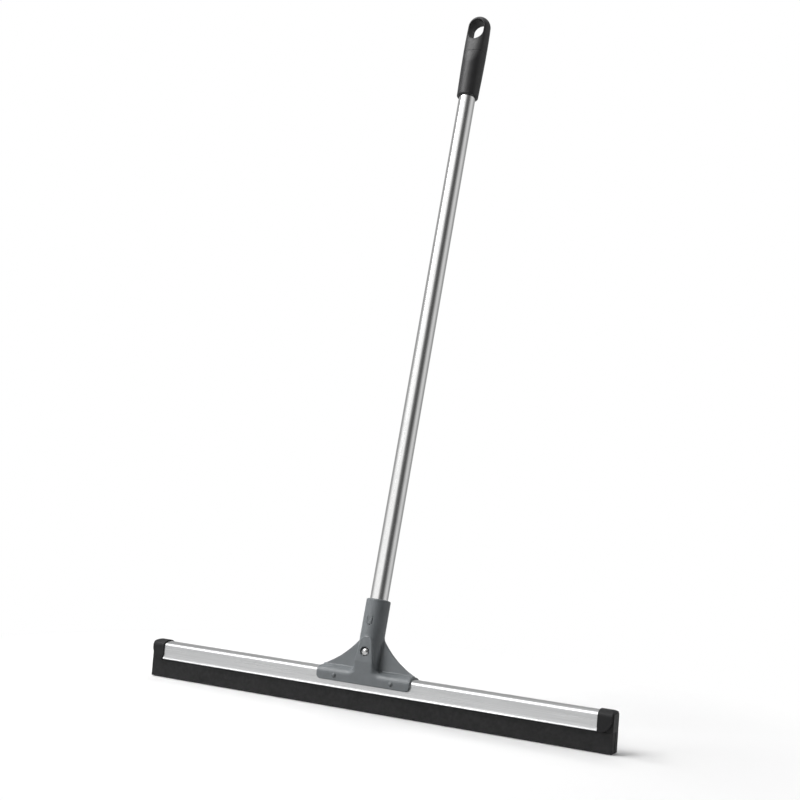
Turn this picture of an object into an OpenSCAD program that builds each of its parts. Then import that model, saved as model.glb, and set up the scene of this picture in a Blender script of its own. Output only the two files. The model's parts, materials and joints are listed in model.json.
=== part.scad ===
// Floor squeegee: a rubber-edged head in an aluminium channel, a moulded holder
// that saddles the channel, and a steel handle that snaps into the holder.
// X runs along the head, Y to the rear, Z up. The blade tips stand on z = 0.

/* [Blades] */
// Length of the head, end to end
head_length = 700; // [500:10:900]
// Height of rubber that shows below the channel
blade_reach = 26; // [18:1:36]
// Thickness of one rubber strip
blade_thickness = 9.6; // [7:0.1:12]
// Slit that the spreader keeps between the two strips
blade_slit = 1.4; // [1:0.1:3]
// Height of the open slit above the floor
slit_height = 14; // [6:1:17]

/* [Channel] */
// Height of the channel from its lip to its crown
channel_height = 25; // [22:0.5:32]
// Wall of the channel
channel_wall = 1.5; // [1:0.1:2.5]
// Outer radius of the channel's shoulders
shoulder_radius = 5; // [4:0.5:7]
// Outer radius of the channel's arched crown
crown_radius = 20; // [17:0.5:40]
// Height of the flared lip
lip_height = 4.5; // [3:0.5:6]
// Height of the upright edge below the flare
lip_edge = 0.8; // [0.4:0.1:2]
// How far the lip stands out from the wall
lip_flare = 1.8; // [0.8:0.1:3]

/* [End caps] */
// Length of the hood along the head
cap_length = 20.5; // [19.5:0.5:32]
// Length of the solid block past the channel's end
cap_block = 14; // [10:0.5:16]
// Length of the plug inside the channel
cap_plug = 18; // [10:1:30]
// Wall of the hood
cap_wall = 1.6; // [1:0.1:2.5]
// Step from the end face back to the hood
cap_setback = 1.3; // [0.5:0.1:3]
// Radius of the hood's lower outer corner
cap_corner_radius = 16.5; // [8:0.5:17]
// Radius of the cap's upper outer corner
cap_top_radius = 6.5; // [2:0.5:9]
// How far the hood hangs below the channel
hood_drop = 1; // [0:0.1:2]
// How far the lip runs into the hood's notch
lip_tuck = 0.3; // [0.1:0.1:1.5]
// Open gap in the notch past the end of the lip
notch_gap = 1.7; // [0.6:0.1:2.5]

/* [Holder] */
// Length of the saddle
saddle_length = 142; // [126:2:180]
// Wall of the saddle
saddle_wall = 3.3; // [2.5:0.1:4.5]
// Height of the channel's side that the saddle covers
saddle_skirt = 15.6; // [13:0.2:17]
// Corner radius of the saddle's skirts
skirt_radius = 6; // [2:0.5:7]
// Wall of the socket round the tube
socket_wall = 4; // [3.2:0.1:5.5]
// Depth of the socket
socket_depth = 86; // [78:0.5:110]
// Solid floor under the tube
socket_floor = 6; // [4:0.5:10]
// Edge radius of the socket's rim
rim_radius = 1.7; // [0.8:0.1:1.9]
// Thickness of a wing
wing_thickness = 4; // [3:0.5:5]
// Height of the wings above the saddle
wing_height = 41; // [30:1:44]
// Distance of the wings behind the middle of the head
wing_back = 5; // [3:0.5:6]
// Radius of the wing's hollow edge
wing_hollow_radius = 130; // [90:5:300]
// Radius of the fillet along a wing's foot
foot_radius = 2.6; // [1.5:0.1:3]

/* [Front pad] */
// Holder wall in front of the tube at the button
pad_wall = 2.8; // [2.2:0.1:4]
// Angle between the pad's face and the handle
pad_tilt = 5; // [3:0.5:7]
// Width of the pad at its arched top
pad_top_width = 19; // [17:0.5:24]
// Width of the pad at its foot
pad_foot_width = 33; // [26:0.5:36]
// Height of the arch above the button
pad_rise = 20; // [17:0.5:24]
// Length of the pad below the button
pad_fall = 31; // [28:0.5:36]

/* [Flexing tongue] */
// Height of the tongue's tip above the tube's foot
tongue_height = 50; // [42:1:58]
// Length of the slot that frees the tongue
tongue_length = 11.6; // [9:0.2:15]
// Width over the slot
tongue_width = 7.6; // [6:0.2:10]
// Width of the slot
tongue_slot = 1.1; // [0.8:0.1:1.6]
// How far the tongue stands proud
tongue_proud = 0.5; // [0.2:0.1:1]

/* [Handle] */
// Length from the tube's foot to the top of the grip
handle_length = 977; // [700:1:1400]
// Backward lean of the handle against the head
handle_lean = 12; // [9:0.5:14]
// Where the handle's axis meets the floor, ahead of the head's middle
handle_lead = 15; // [13:0.5:16]
// Outer diameter of the tube
tube_diameter = 25; // [22:0.5:27]
// Wall of the tube
tube_wall = 1.2; // [0.9:0.1:1.8]

/* [Grip] */
// Length of the grip
grip_length = 134; // [115:1:180]
// Diameter of the grip at its open end
grip_end_diameter = 32; // [30:0.5:36]
// Largest diameter of the grip
grip_swell_diameter = 35; // [33:0.5:40]
// Diameter of the grip's round top
grip_dome_diameter = 33.8; // [31:0.2:36]
// Height of the swell above the grip's open end
grip_swell_height = 83; // [60:1:95]
// Edge radius of the open end
grip_edge = 1.8; // [0.8:0.1:2.2]
// Depth of the ring groove at the swell
grip_groove = 0.5; // [0.3:0.1:0.8]
// Clear width of the hanging eye at its middle
eye_width = 24; // [16:0.2:26]
// Clear height of the hanging eye at its middle
eye_height = 33.2; // [28:0.2:37]
// Distance from the top of the grip to the middle of the eye
eye_drop = 24.2; // [22:0.2:30]
// How far each side of the eye opens out towards the front and the rear
eye_draft = 0.6; // [0.4:0.1:1.5]
// Depth of the flattened grip at the eye, front to rear
eye_depth = 26; // [22:0.5:30]
// Radius of the hollows that run out from the flats into the round grip
hollow_radius = 100; // [60:5:110]
// Solid web between the tube's end and the eye
eye_web = 30; // [28:0.5:40]

/* [Snap button] */
// Diameter of the button
button_diameter = 10.8; // [8:0.2:12]
// Height of the button above the tube's foot
button_height = 14; // [11:0.5:18]
// How far the dome stands out of the pad
button_proud = 1.6; // [1:0.1:2.5]
// Height of the dome
dome_height = 2.4; // [1.5:0.1:3.5]
// Ring of room between the button and the holder
button_room = 1.2; // [0.8:0.1:1.6]
// Diameter of the tail that rivets the button to its spring
tail_diameter = 3.2; // [2:0.1:4]
// Thickness of the tail's head
tail_head = 1; // [0.6:0.1:1.5]

/* [Button spring] */
// Width of the leaf spring
spring_width = 8; // [6:0.5:10]
// Thickness of the leaf spring
spring_leaf = 0.8; // [0.5:0.1:1.2]
// Length of the spring's straight legs
spring_leg = 42; // [32:1:60]
// Height of the legs' ends above the tube's foot
spring_lift = 2; // [1:0.5:4]

/* [Rivets] */
// Distance between the two rivets
rivet_spacing = 87; // [70:1:100]
// Height of the rivets below the channel's crown
rivet_drop = 8.5; // [7:0.1:10]
// Shank diameter of a rivet
rivet_diameter = 4; // [3:0.2:5]
// Diameter of a rivet's dome head
rivet_head = 6.6; // [6:0.2:9]
// Height of a rivet's dome head
rivet_dome = 1.9; // [1.2:0.1:2.6]
// Diameter of the washer under a rear head
washer_diameter = 10; // [8:0.5:13]
// Thickness of a washer
washer_thickness = 1; // [0.6:0.1:1.6]

/* [Clearances] */
// Gap between the rubber and the channel
rubber_fit = 0.2; // [0.1:0.05:0.4]
// Gap between a cap and the channel
cap_fit = 0.2; // [0.1:0.05:0.4]
// Gap between the saddle and the channel
saddle_fit = 0.2; // [0.1:0.05:0.4]
// Gap between the tube and the pieces round it
tube_fit = 0.2; // [0.1:0.05:0.4]
// Running gap round the button in the tube
button_fit = 0.3; // [0.2:0.05:0.5]
// Gap between the spring and the pieces that it touches
spring_fit = 0.1; // [0.05:0.05:0.2]
// Gap round a rivet's shank
rivet_fit = 0.15; // [0.1:0.05:0.3]

/* [Hidden] */
$fn = 96;

// A length that reaches past every piece that it cuts
past = head_length + handle_length;

// How far a fillet's arc cuts into the faces that it joins, so that it ends in clean edges
fillet_bite = 0.15;

// How far the arched crown cuts into the round shoulders, so that they meet in clean edges
crown_bite = 0.05;

// Head section, from the rubber outwards
head_half = head_length / 2;
stack_half = blade_thickness + blade_slit / 2;
channel_half = stack_half + rubber_fit + channel_wall;
saddle_half = channel_half + saddle_fit + saddle_wall;
channel_top = blade_reach + channel_height;
saddle_top = channel_top + saddle_fit + saddle_wall;
saddle_foot = channel_top - saddle_skirt;
rivet_z = channel_top - rivet_drop;
crown_middle = channel_top - crown_radius;

// Head length, from the ends inwards
channel_end = head_half - cap_block - cap_fit;
held_length = 2 * (channel_end - cap_plug - cap_fit);
hood_start = head_half - cap_length;
hood_end = head_half - cap_setback;
cap_crown = channel_top + cap_fit + cap_wall;

// Handle, measured along its own axis from the floor
tube_radius = tube_diameter / 2;
tube_bore = tube_radius - tube_wall;
socket_bore = tube_radius + tube_fit;
socket_radius = socket_bore + socket_wall;
tube_foot = (saddle_top + socket_floor + socket_bore * sin(handle_lean)) / cos(handle_lean);
socket_top = tube_foot + socket_depth;
grip_top = tube_foot + handle_length;
grip_start = grip_top - grip_length;
eye_middle = grip_top - eye_drop;
grip_bore_top = eye_middle - eye_height / 2 - eye_web;
tube_top = grip_bore_top - tube_fit;
flat_start = eye_middle - eye_height / 2;
ring_level = grip_start + grip_swell_height;

// Button, measured outwards from the handle's axis
button_level = tube_foot + button_height;
button_radius = button_diameter / 2;
pad_face = socket_bore + pad_wall;
leg_face = sqrt(pow(tube_bore, 2) - pow(spring_width / 2, 2)) - spring_fit;
leg_back = leg_face - spring_leaf;
dome_top = pad_face + button_proud;
dome_radius = (pow(button_radius, 2) + pow(dome_height, 2)) / (2 * dome_height);

// Extrudes a section drawn in the YZ plane along X, about the middle
module along_x(length) {
    rotate([90, 0, 90])
        linear_extrude(length, center = true)
            children();
}

// Extrudes an outline drawn in the XZ plane along Y, about the middle
module along_y(depth) {
    rotate([90, 0, 0])
        linear_extrude(depth, center = true)
            children();
}

// Places children in the handle's frame: Z up the handle, -Y to its front
module on_handle() {
    translate([0, -handle_lead, 0])
        rotate([-handle_lean, 0, 0])
            children();
}

// Places children on the button's axis, with Z pointing out of the handle's front
module on_button() {
    on_handle()
        translate([0, 0, button_level])
            rotate([90, 0, 0])
                children();
}

// Places children on the pad's face at the button, -Y pointing out of the face
module on_pad() {
    on_handle()
        translate([0, -pad_face, button_level])
            rotate([pad_tilt, 0, 0])
                children();
}

// Section of the channel, with an arched crown and round shoulders, grown on every side
module crown_section(grow, foot) {
    half = channel_half + grow;
    spread = channel_half - shoulder_radius;
    reach = crown_radius - shoulder_radius + crown_bite;
    rise = sqrt(pow(reach, 2) - pow(spread, 2));
    translate([-half, foot])
        square([2 * half, crown_middle + rise - foot]);
    for (side = [-1, 1])
        translate([side * spread, crown_middle + rise])
            circle(shoulder_radius + grow);
    translate([0, crown_middle])
        intersection() {
            circle(crown_radius + grow);
            polygon([[0, 0], [2 * spread, 2 * rise], [-2 * spread, 2 * rise]]);
        }
}

// Rectangle with rounded corners, from its lower left corner
module rounded_plate(width, height, radius) {
    translate([radius, 0])
        square([width - 2 * radius, height]);
    translate([0, radius])
        square([width, height - 2 * radius]);
    for (x = [radius, width - radius], y = [radius, height - radius])
        translate([x, y])
            circle(radius);
}

// Slot with round ends, upright about the origin
module upright_slot(width, height) {
    reach = (height - width) / 2;
    square([width, 2 * reach], center = true);
    for (side = [-1, 1])
        translate([0, side * reach])
            circle(width / 2);
}

// Through-holes for the two rivets
module rivet_holes() {
    for (side = [-1, 1])
        translate([side * rivet_spacing / 2, 0, rivet_z])
            rotate([90, 0, 0])
                cylinder(r = rivet_diameter / 2 + rivet_fit, h = past, center = true);
}

module lip_section() {
    for (side = [0, 1])
        mirror([side, 0])
            polygon([[channel_half - channel_wall, blade_reach],
                     [channel_half + lip_flare, blade_reach],
                     [channel_half + lip_flare, blade_reach + lip_edge],
                     [channel_half, blade_reach + lip_height],
                     [channel_half - channel_wall, blade_reach + lip_height]]);
}

module channel() {
    color("silver")
        difference() {
            union() {
                along_x(2 * channel_end)
                    crown_section(0, blade_reach);
                along_x(2 * (hood_start + lip_tuck))
                    lip_section();
            }
            along_x(past)
                crown_section(-channel_wall, -blade_reach);
            rivet_holes();
        }
}

// One rubber strip on the front side: full length below the channel, shorter inside it
module rubber_strip() {
    difference() {
        union() {
            along_x(head_length)
                translate([-stack_half, 0])
                    square([blade_thickness, blade_reach - rubber_fit]);
            along_x(held_length)
                intersection() {
                    crown_section(-channel_wall - rubber_fit, 0);
                    translate([-stack_half, 0])
                        square([blade_thickness, channel_top]);
                }
        }
        rivet_holes();
    }
}

module front_blade() {
    color("#2e2f31")
        rubber_strip();
}

module rear_blade() {
    color("#2e2f31")
        mirror([0, 1, 0])
            rubber_strip();
}

module blade_spreader() {
    thickness = blade_slit - 2 * rubber_fit;
    top = channel_top - channel_wall - rubber_fit;
    color("#4b4c4e")
        difference() {
            along_x(held_length)
                translate([-thickness / 2, slit_height])
                    square([thickness, top - slit_height]);
            rivet_holes();
        }
}

// Side view of the hood, whose lower outer corner is a wide arc
module hood_outline() {
    foot = blade_reach - hood_drop;
    length = hood_end - hood_start;
    translate([hood_start, foot])
        square([length - cap_corner_radius, 2 * channel_top]);
    translate([hood_start, foot + cap_corner_radius])
        square([length, 2 * channel_top]);
    intersection() {
        translate([hood_end - cap_corner_radius, foot + cap_corner_radius])
            circle(cap_corner_radius);
        translate([hood_start, foot])
            square([length, 2 * channel_top]);
    }
}

// Hood over the channel's end, notched where the channel's lip runs in
module hood() {
    notch_length = lip_tuck + notch_gap;
    difference() {
        intersection() {
            along_x(past)
                crown_section(cap_fit + cap_wall, blade_reach - hood_drop);
            along_y(past)
                hood_outline();
        }
        along_x(2 * (channel_end + cap_fit))
            crown_section(cap_fit, -blade_reach);
        along_x(past)
            translate([-stack_half - cap_fit, 0])
                square([2 * (stack_half + cap_fit), blade_reach]);
        translate([hood_start, -past / 2, blade_reach - lip_height])
            cube([notch_length, past, 2 * lip_height + cap_fit]);
    }
}

// Section of the plug, as deep as the rubber
module plug_section() {
    crown_section(-channel_wall - cap_fit, blade_reach);
}

// Section of the block past the channel: the plug's, raised level with the hood
module block_section() {
    plug_section();
    translate([0, cap_crown + channel_wall + cap_fit - channel_top])
        plug_section();
}

// Side view of the whole cap, with its upper outer corner rounded
module cap_outline() {
    square([head_half, cap_crown - cap_top_radius]);
    square([head_half - cap_top_radius, cap_crown]);
    translate([head_half - cap_top_radius, cap_crown - cap_top_radius])
        circle(cap_top_radius);
}

// Cap for the right end of the head: plug, block and raised hood
module end_cap() {
    plug_start = channel_end - cap_plug;
    block_start = channel_end + cap_fit;
    intersection() {
        along_y(past)
            cap_outline();
        union() {
            translate([(plug_start + head_half) / 2, 0, 0])
                along_x(head_half - plug_start)
                    plug_section();
            translate([(block_start + head_half) / 2, 0, 0])
                along_x(head_half - block_start)
                    block_section();
            hood();
        }
    }
}

module right_end_cap() {
    color("#26272a")
        end_cap();
}

module left_end_cap() {
    color("#26272a")
        mirror([1, 0, 0])
            end_cap();
}

// Socket barrel, with a soft rim, that runs down into the saddle
module socket_barrel() {
    on_handle()
        rotate_extrude()
            difference() {
                union() {
                    translate([0, channel_top - saddle_skirt])
                        square([socket_radius, socket_top - rim_radius - saddle_foot]);
                    square([socket_radius - rim_radius, socket_top]);
                    translate([socket_radius - rim_radius, socket_top - rim_radius])
                        circle(rim_radius);
                }
                translate([-past, -past])
                    square([past, 2 * past]);
                square([socket_radius, saddle_foot]);
            }
}

// Outline of the pad: an arched top and sides that spread downwards
module pad_outline() {
    top_half = pad_top_width / 2;
    foot_half = pad_foot_width / 2;
    arch = pad_rise - top_half;
    translate([0, arch])
        circle(top_half);
    polygon([[-foot_half, -pad_fall], [foot_half, -pad_fall],
             [top_half, arch], [-top_half, arch]]);
}

// Flat boss in front of the barrel
module pad_boss() {
    on_pad()
        translate([0, pad_face / 2, 0])
            along_y(pad_face)
                pad_outline();
}

// Everything in front of the pad's face and of the saddle's front
module front_space() {
    on_pad()
        translate([-past / 2, -past, -past / 2])
            cube(past);
    translate([-past / 2, -saddle_half - past, -past / 2])
        cube(past);
}

module saddle() {
    height = saddle_top - saddle_foot;
    intersection() {
        along_x(saddle_length)
            crown_section(saddle_fit + saddle_wall, saddle_foot);
        along_y(past)
            translate([-saddle_length / 2, saddle_foot])
                rounded_plate(saddle_length, height, skirt_radius);
    }
}

// Right-hand wing, with a hollow upper edge
module wing_outline() {
    base = saddle_top - 2 * saddle_wall;
    root = [socket_radius, saddle_top + wing_height];
    tip = [saddle_length / 2 - skirt_radius / 3, saddle_top];
    chord = norm(tip - root);
    outward = [root[1] - tip[1], tip[0] - root[0]] / chord;
    centre_rise = sqrt(pow(wing_hollow_radius, 2) - pow(chord / 2, 2));
    difference() {
        polygon([[0, base], [tip[0], base], tip, root, [0, root[1]]]);
        translate((root + tip) / 2 + centre_rise * outward)
            circle(wing_hollow_radius, $fn = 4 * $fn);
    }
}

// Both wings, upright behind the middle of the head
module wings(thickness) {
    translate([0, wing_back, 0])
        for (side = [0, 1])
            mirror([side, 0, 0])
                along_y(thickness)
                    wing_outline();
}

// Fillets along both sides of a wing's foot, each ending in the arched saddle and the wing
module foot_section() {
    reach = foot_radius - fillet_bite;
    crown = crown_radius + saddle_fit + saddle_wall;
    front_face = wing_back - wing_thickness / 2;
    rear_face = wing_back + wing_thickness / 2;
    front = front_face - reach;
    rear = rear_face + reach;
    front_rise = crown_middle + sqrt(pow(crown + reach, 2) - pow(front, 2));
    rear_rise = crown_middle + sqrt(pow(crown + reach, 2) - pow(rear, 2));
    base = saddle_top - 2 * saddle_wall;
    difference() {
        polygon([[front, base], [rear, base], [rear, rear_rise], [rear_face, rear_rise],
                 [front_face, front_rise], [front, front_rise]]);
        translate([front, front_rise])
            circle(foot_radius);
        translate([rear, rear_rise])
            circle(foot_radius);
    }
}

module wing_feet() {
    intersection() {
        wings(wing_thickness + 4 * foot_radius);
        along_x(saddle_length)
            foot_section();
    }
}

// Outline of the tongue with its round tip down, grown by the slot
module tongue_outline(grow) {
    half = tongue_width / 2 - tongue_slot + grow;
    tip = tube_foot + tongue_height + tongue_width / 2;
    translate([0, tip])
        circle(half);
    translate([-half, tip])
        square([2 * half, tongue_length - tongue_width / 2]);
}

module tongue_relief() {
    on_handle()
        translate([0, -past / 2, 0])
            along_y(past)
                difference() {
                    tongue_outline(tongue_slot);
                    tongue_outline(0);
                }
}

module tongue_face() {
    on_handle()
        intersection() {
            translate([0, 0, tube_foot])
                cylinder(r = socket_radius + tongue_proud, h = socket_depth);
            translate([0, -past / 2, 0])
                along_y(past)
                    tongue_outline(0);
        }
}

module holder() {
    color("#6b7073")
        difference() {
            union() {
                difference() {
                    union() {
                        socket_barrel();
                        pad_boss();
                    }
                    front_space();
                }
                saddle();
                wings(wing_thickness);
                wing_feet();
                tongue_face();
            }
            along_x(past)
                crown_section(saddle_fit, -blade_reach);
            on_handle()
                translate([0, 0, tube_foot])
                    cylinder(r = socket_bore, h = past);
            on_button()
                cylinder(r = button_radius + button_room, h = past);
            tongue_relief();
            rivet_holes();
        }
}

// Round-headed rivet through the whole head, set on a washer at the rear
module rivet() {
    head_radius = rivet_head / 2;
    cap_radius = (pow(head_radius, 2) + pow(rivet_dome, 2)) / (2 * rivet_dome);
    rear_seat = saddle_half + washer_thickness;
    translate([0, 0, rivet_z])
        rotate([90, 0, 0]) {
            translate([0, 0, -rear_seat])
                cylinder(d = rivet_diameter, h = rear_seat + saddle_half);
            for (seat = [[0, saddle_half], [180, rear_seat]])
                rotate([seat[0], 0, 0])
                    translate([0, 0, seat[1]])
                        intersection() {
                            translate([0, 0, rivet_dome - cap_radius])
                                sphere(cap_radius);
                            cylinder(r = head_radius, h = rivet_dome);
                        }
        }
}

module left_rivet() {
    color("#74797c")
        translate([-rivet_spacing / 2, 0, 0])
            rivet();
}

module right_rivet() {
    color("#74797c")
        translate([rivet_spacing / 2, 0, 0])
            rivet();
}

module rivet_washers() {
    color("lightgray")
        for (side = [-1, 1])
            translate([side * rivet_spacing / 2, saddle_half, rivet_z])
                rotate([-90, 0, 0])
                    difference() {
                        cylinder(d = washer_diameter, h = washer_thickness);
                        cylinder(r = rivet_diameter / 2 + rivet_fit, h = past, center = true);
                    }
}

module handle_tube() {
    color("gainsboro")
        difference() {
            on_handle()
                translate([0, 0, tube_foot])
                    difference() {
                        cylinder(d = tube_diameter, h = tube_top - tube_foot);
                        cylinder(r = tube_bore, h = past, center = true);
                    }
            on_button()
                cylinder(r = button_radius + button_fit, h = past);
        }
}

// Half profile of the grip: a rounded open end, a slow swell and a round top
module grip_profile() {
    dome_radius = grip_dome_diameter / 2;
    end_radius = grip_end_diameter / 2;
    difference() {
        union() {
            polygon([[0, grip_start + grip_edge], [end_radius, grip_start + grip_edge],
                     [grip_swell_diameter / 2, ring_level],
                     [dome_radius, grip_top - dome_radius], [0, grip_top - dome_radius]]);
            square([end_radius - grip_edge, grip_top - dome_radius]);
            translate([end_radius - grip_edge, grip_start + grip_edge])
                circle(grip_edge);
            translate([0, grip_top - dome_radius])
                circle(dome_radius);
        }
        square([2 * end_radius, grip_start]);
        translate([-past, -past])
            square([past, 3 * past]);
    }
}

// Eye through the grip, opening out with draft from its middle to the front and the rear
module hanging_eye() {
    straight = eye_height - eye_width;
    depth = grip_swell_diameter / 2;
    half = eye_width / 2;
    along_y(past)
        upright_slot(eye_width, eye_height);
    for (turn = [0, 180])
        rotate([90, 0, turn]) {
            for (side = [-1, 1])
                translate([0, side * straight / 2, 0])
                    cylinder(r1 = half, r2 = half + eye_draft, h = depth);
            rotate([90, 0, 0])
                linear_extrude(straight, center = true)
                    polygon([[-half, 0], [half, 0],
                             [half + eye_draft, depth], [-half - eye_draft, depth]]);
        }
}

// What the flats and their hollows take off the front and the rear of the grip
module eye_flats() {
    half = eye_depth / 2;
    for (side = [0, 1])
        mirror([side, 0]) {
            translate([half + hollow_radius, flat_start])
                circle(hollow_radius, $fn = 4 * $fn);
            translate([half + fillet_bite, flat_start])
                square([hollow_radius, 2 * grip_length]);
        }
}

// Ring groove round the flattened grip
module ring_groove() {
    drop = max(flat_start - ring_level, 0);
    depth = eye_depth / 2 + hollow_radius - sqrt(pow(hollow_radius, 2) - pow(drop, 2));
    difference() {
        cube([past, past, 2 * grip_groove], center = true);
        intersection() {
            cylinder(r = grip_swell_diameter / 2 - grip_groove, h = past, center = true);
            cube([past, 2 * (depth - grip_groove), past], center = true);
        }
    }
}

module hand_grip() {
    color("#2b2c2e")
        on_handle()
            difference() {
                rotate_extrude()
                    grip_profile();
                along_x(past)
                    eye_flats();
                translate([0, 0, ring_level])
                    ring_groove();
                translate([0, 0, grip_start])
                    cylinder(r = socket_bore, h = grip_bore_top - grip_start);
                translate([0, 0, eye_middle])
                    hanging_eye();
            }
}

// Half profile of the button: the tail's head, the tail, the body and the dome
module button_profile() {
    body_start = leg_face + spring_fit;
    tail_end = leg_back - spring_fit;
    dome_start = dome_top - dome_height;
    translate([0, tail_end - tail_head])
        square([tail_diameter, tail_head]);
    translate([0, tail_end - tail_head])
        square([tail_diameter / 2, body_start - tail_end + 2 * tail_head]);
    translate([0, body_start])
        square([button_radius, dome_start - body_start]);
    intersection() {
        translate([0, dome_top - dome_radius])
            circle(dome_radius);
        translate([0, body_start])
            square([button_radius, dome_top - body_start]);
    }
}

module snap_button() {
    color("gainsboro")
        on_button()
            rotate_extrude()
                button_profile();
}

// Hairpin outline, filled, with its bend at the origin and its legs down
module hairpin(half) {
    circle(half);
    translate([-half, -spring_leg])
        square([2 * half, spring_leg]);
}

// Hairpin leaf spring inside the tube
module spring_section() {
    translate([0, tube_foot + spring_lift + spring_leg])
        difference() {
            hairpin(leg_face);
            hairpin(leg_back);
        }
}

module button_spring() {
    color("silver")
        difference() {
            on_handle()
                along_x(spring_width)
                    spring_section();
            on_button()
                cylinder(r = tail_diameter / 2 + spring_fit, h = past);
        }
}

channel();
front_blade();
rear_blade();
blade_spreader();
left_end_cap();
right_end_cap();
holder();
left_rivet();
right_rivet();
rivet_washers();
handle_tube();
hand_grip();
snap_button();
button_spring();
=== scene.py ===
"""Looks of a floor squeegee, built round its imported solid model.

Sizes are in millimetres in the model's own frame: X along the head, Y to the rear, Z up from the
blade tips. Meshes are made in metres. Each sub-assembly is a class that builds and dresses its pieces.
"""

import json
import logging
import math
from dataclasses import dataclass
from enum import Enum
from typing import Any, Callable, Sequence

import bmesh
import bpy
import numpy as np
from bpy.types import Material, Mesh, Node, NodeTree, Object
from mathutils import Matrix, Vector


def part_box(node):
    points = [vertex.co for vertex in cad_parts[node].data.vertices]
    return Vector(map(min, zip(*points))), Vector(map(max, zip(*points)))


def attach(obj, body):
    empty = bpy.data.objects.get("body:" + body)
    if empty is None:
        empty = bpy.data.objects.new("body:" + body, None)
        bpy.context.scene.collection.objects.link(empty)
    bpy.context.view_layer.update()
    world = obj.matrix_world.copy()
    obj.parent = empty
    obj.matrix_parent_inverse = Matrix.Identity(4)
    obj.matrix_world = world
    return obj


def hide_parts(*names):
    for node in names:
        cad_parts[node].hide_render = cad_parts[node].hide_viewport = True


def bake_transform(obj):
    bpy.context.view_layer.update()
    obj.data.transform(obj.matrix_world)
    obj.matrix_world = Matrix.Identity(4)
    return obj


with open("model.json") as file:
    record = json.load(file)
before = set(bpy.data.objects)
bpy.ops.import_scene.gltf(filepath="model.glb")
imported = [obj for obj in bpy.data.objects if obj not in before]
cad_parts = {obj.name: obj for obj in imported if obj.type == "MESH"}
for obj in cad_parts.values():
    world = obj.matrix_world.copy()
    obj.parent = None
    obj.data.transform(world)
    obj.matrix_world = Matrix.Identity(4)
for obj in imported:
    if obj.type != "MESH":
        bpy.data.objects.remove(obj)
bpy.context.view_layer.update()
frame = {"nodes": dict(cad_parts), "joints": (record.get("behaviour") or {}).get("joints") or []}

LOG = logging.getLogger("squeegee")
MM = 0.001
WHITE = (1.0, 1.0, 1.0, 1.0)

# Smallest length to divide by, and distances in metres within which points are one
TINY = 1e-9
WELD = 1e-6
SEAM = 1e-7

Array = np.ndarray
Field = Callable[[Array, Array, Array], Array]
Pair = tuple[float, float]
Point = tuple[float, float, float]
Colour = tuple[float, float, float]


class Body(Enum):
    """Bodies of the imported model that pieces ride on."""

    SQUEEGEE = "squeegee"
    BUTTON = "button"


class Slot(Enum):
    """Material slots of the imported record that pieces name."""

    CHANNEL = "channel"
    RUBBER = "blade_rubber"
    CAP = "cap_plastic"
    HOLDER = "holder_plastic"
    RIVET = "rivet_paint"
    WASHER = "washer_steel"
    TUBE = "tube_steel"
    GRIP = "grip_plastic"
    BUTTON = "button_steel"
    SPRING = "spring_steel"


class Side(Enum):
    """Ends of the head, seen from the front."""

    LEFT = -1
    RIGHT = 1


# Distance fields, in millimetres: negative inside, zero on the surface


def join(a: Array, b: Array, radius: Any = 0.0) -> Array:
    """Unite two fields with a fillet in the corner between them.

    Args:
        a: First field.
        b: Second field.
        radius: Fillet radius, one number or one per point.

    Returns:
        The united field.
    """
    corner = np.hypot(np.maximum(radius - a, 0.0), np.maximum(radius - b, 0.0))
    return np.maximum(radius, np.minimum(a, b)) - corner


def trim(a: Array, b: Array, radius: Any = 0.0) -> Array:
    """Keep what two fields share, with their common edge rounded."""
    return -join(-a, -b, radius)


def cut(a: Array, b: Array, radius: Any = 0.0) -> Array:
    """Take the second field out of the first, with the new edge rounded."""
    return -join(-a, b, radius)


def between(value: Array, low: float, high: float) -> Array:
    """Slab between two parallel faces."""
    return np.maximum(low - value, value - high)


def arc(centre: Pair, radius: float, start: float, end: float, steps: int) -> list[Pair]:
    """Points along an arc, both ends included.

    Args:
        centre: Middle of the arc.
        radius: Radius of the arc.
        start: Angle of its first point, in degrees.
        end: Angle of its last point, in degrees.
        steps: Number of stretches.

    Returns:
        The points in order.
    """
    angles = [math.radians(start + (end - start) * i / steps) for i in range(steps + 1)]
    return [(centre[0] + radius * math.cos(a), centre[1] + radius * math.sin(a)) for a in angles]


def cap_arc(half: float, height: float, steps: int) -> list[Pair]:
    """Outline of a round cap, from its rim to its tip.

    Args:
        half: Radius of the rim.
        height: Height of the tip above the rim.
        steps: Number of stretches.

    Returns:
        Radius and height above the rim of each point.
    """
    radius = (half**2 + height**2) / (2.0 * height)
    spread = math.degrees(math.asin(half / radius))
    points = arc((0.0, height - radius), radius, 90.0 - spread, 90.0, steps)
    return [*points[:-1], (0.0, height)]


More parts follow.
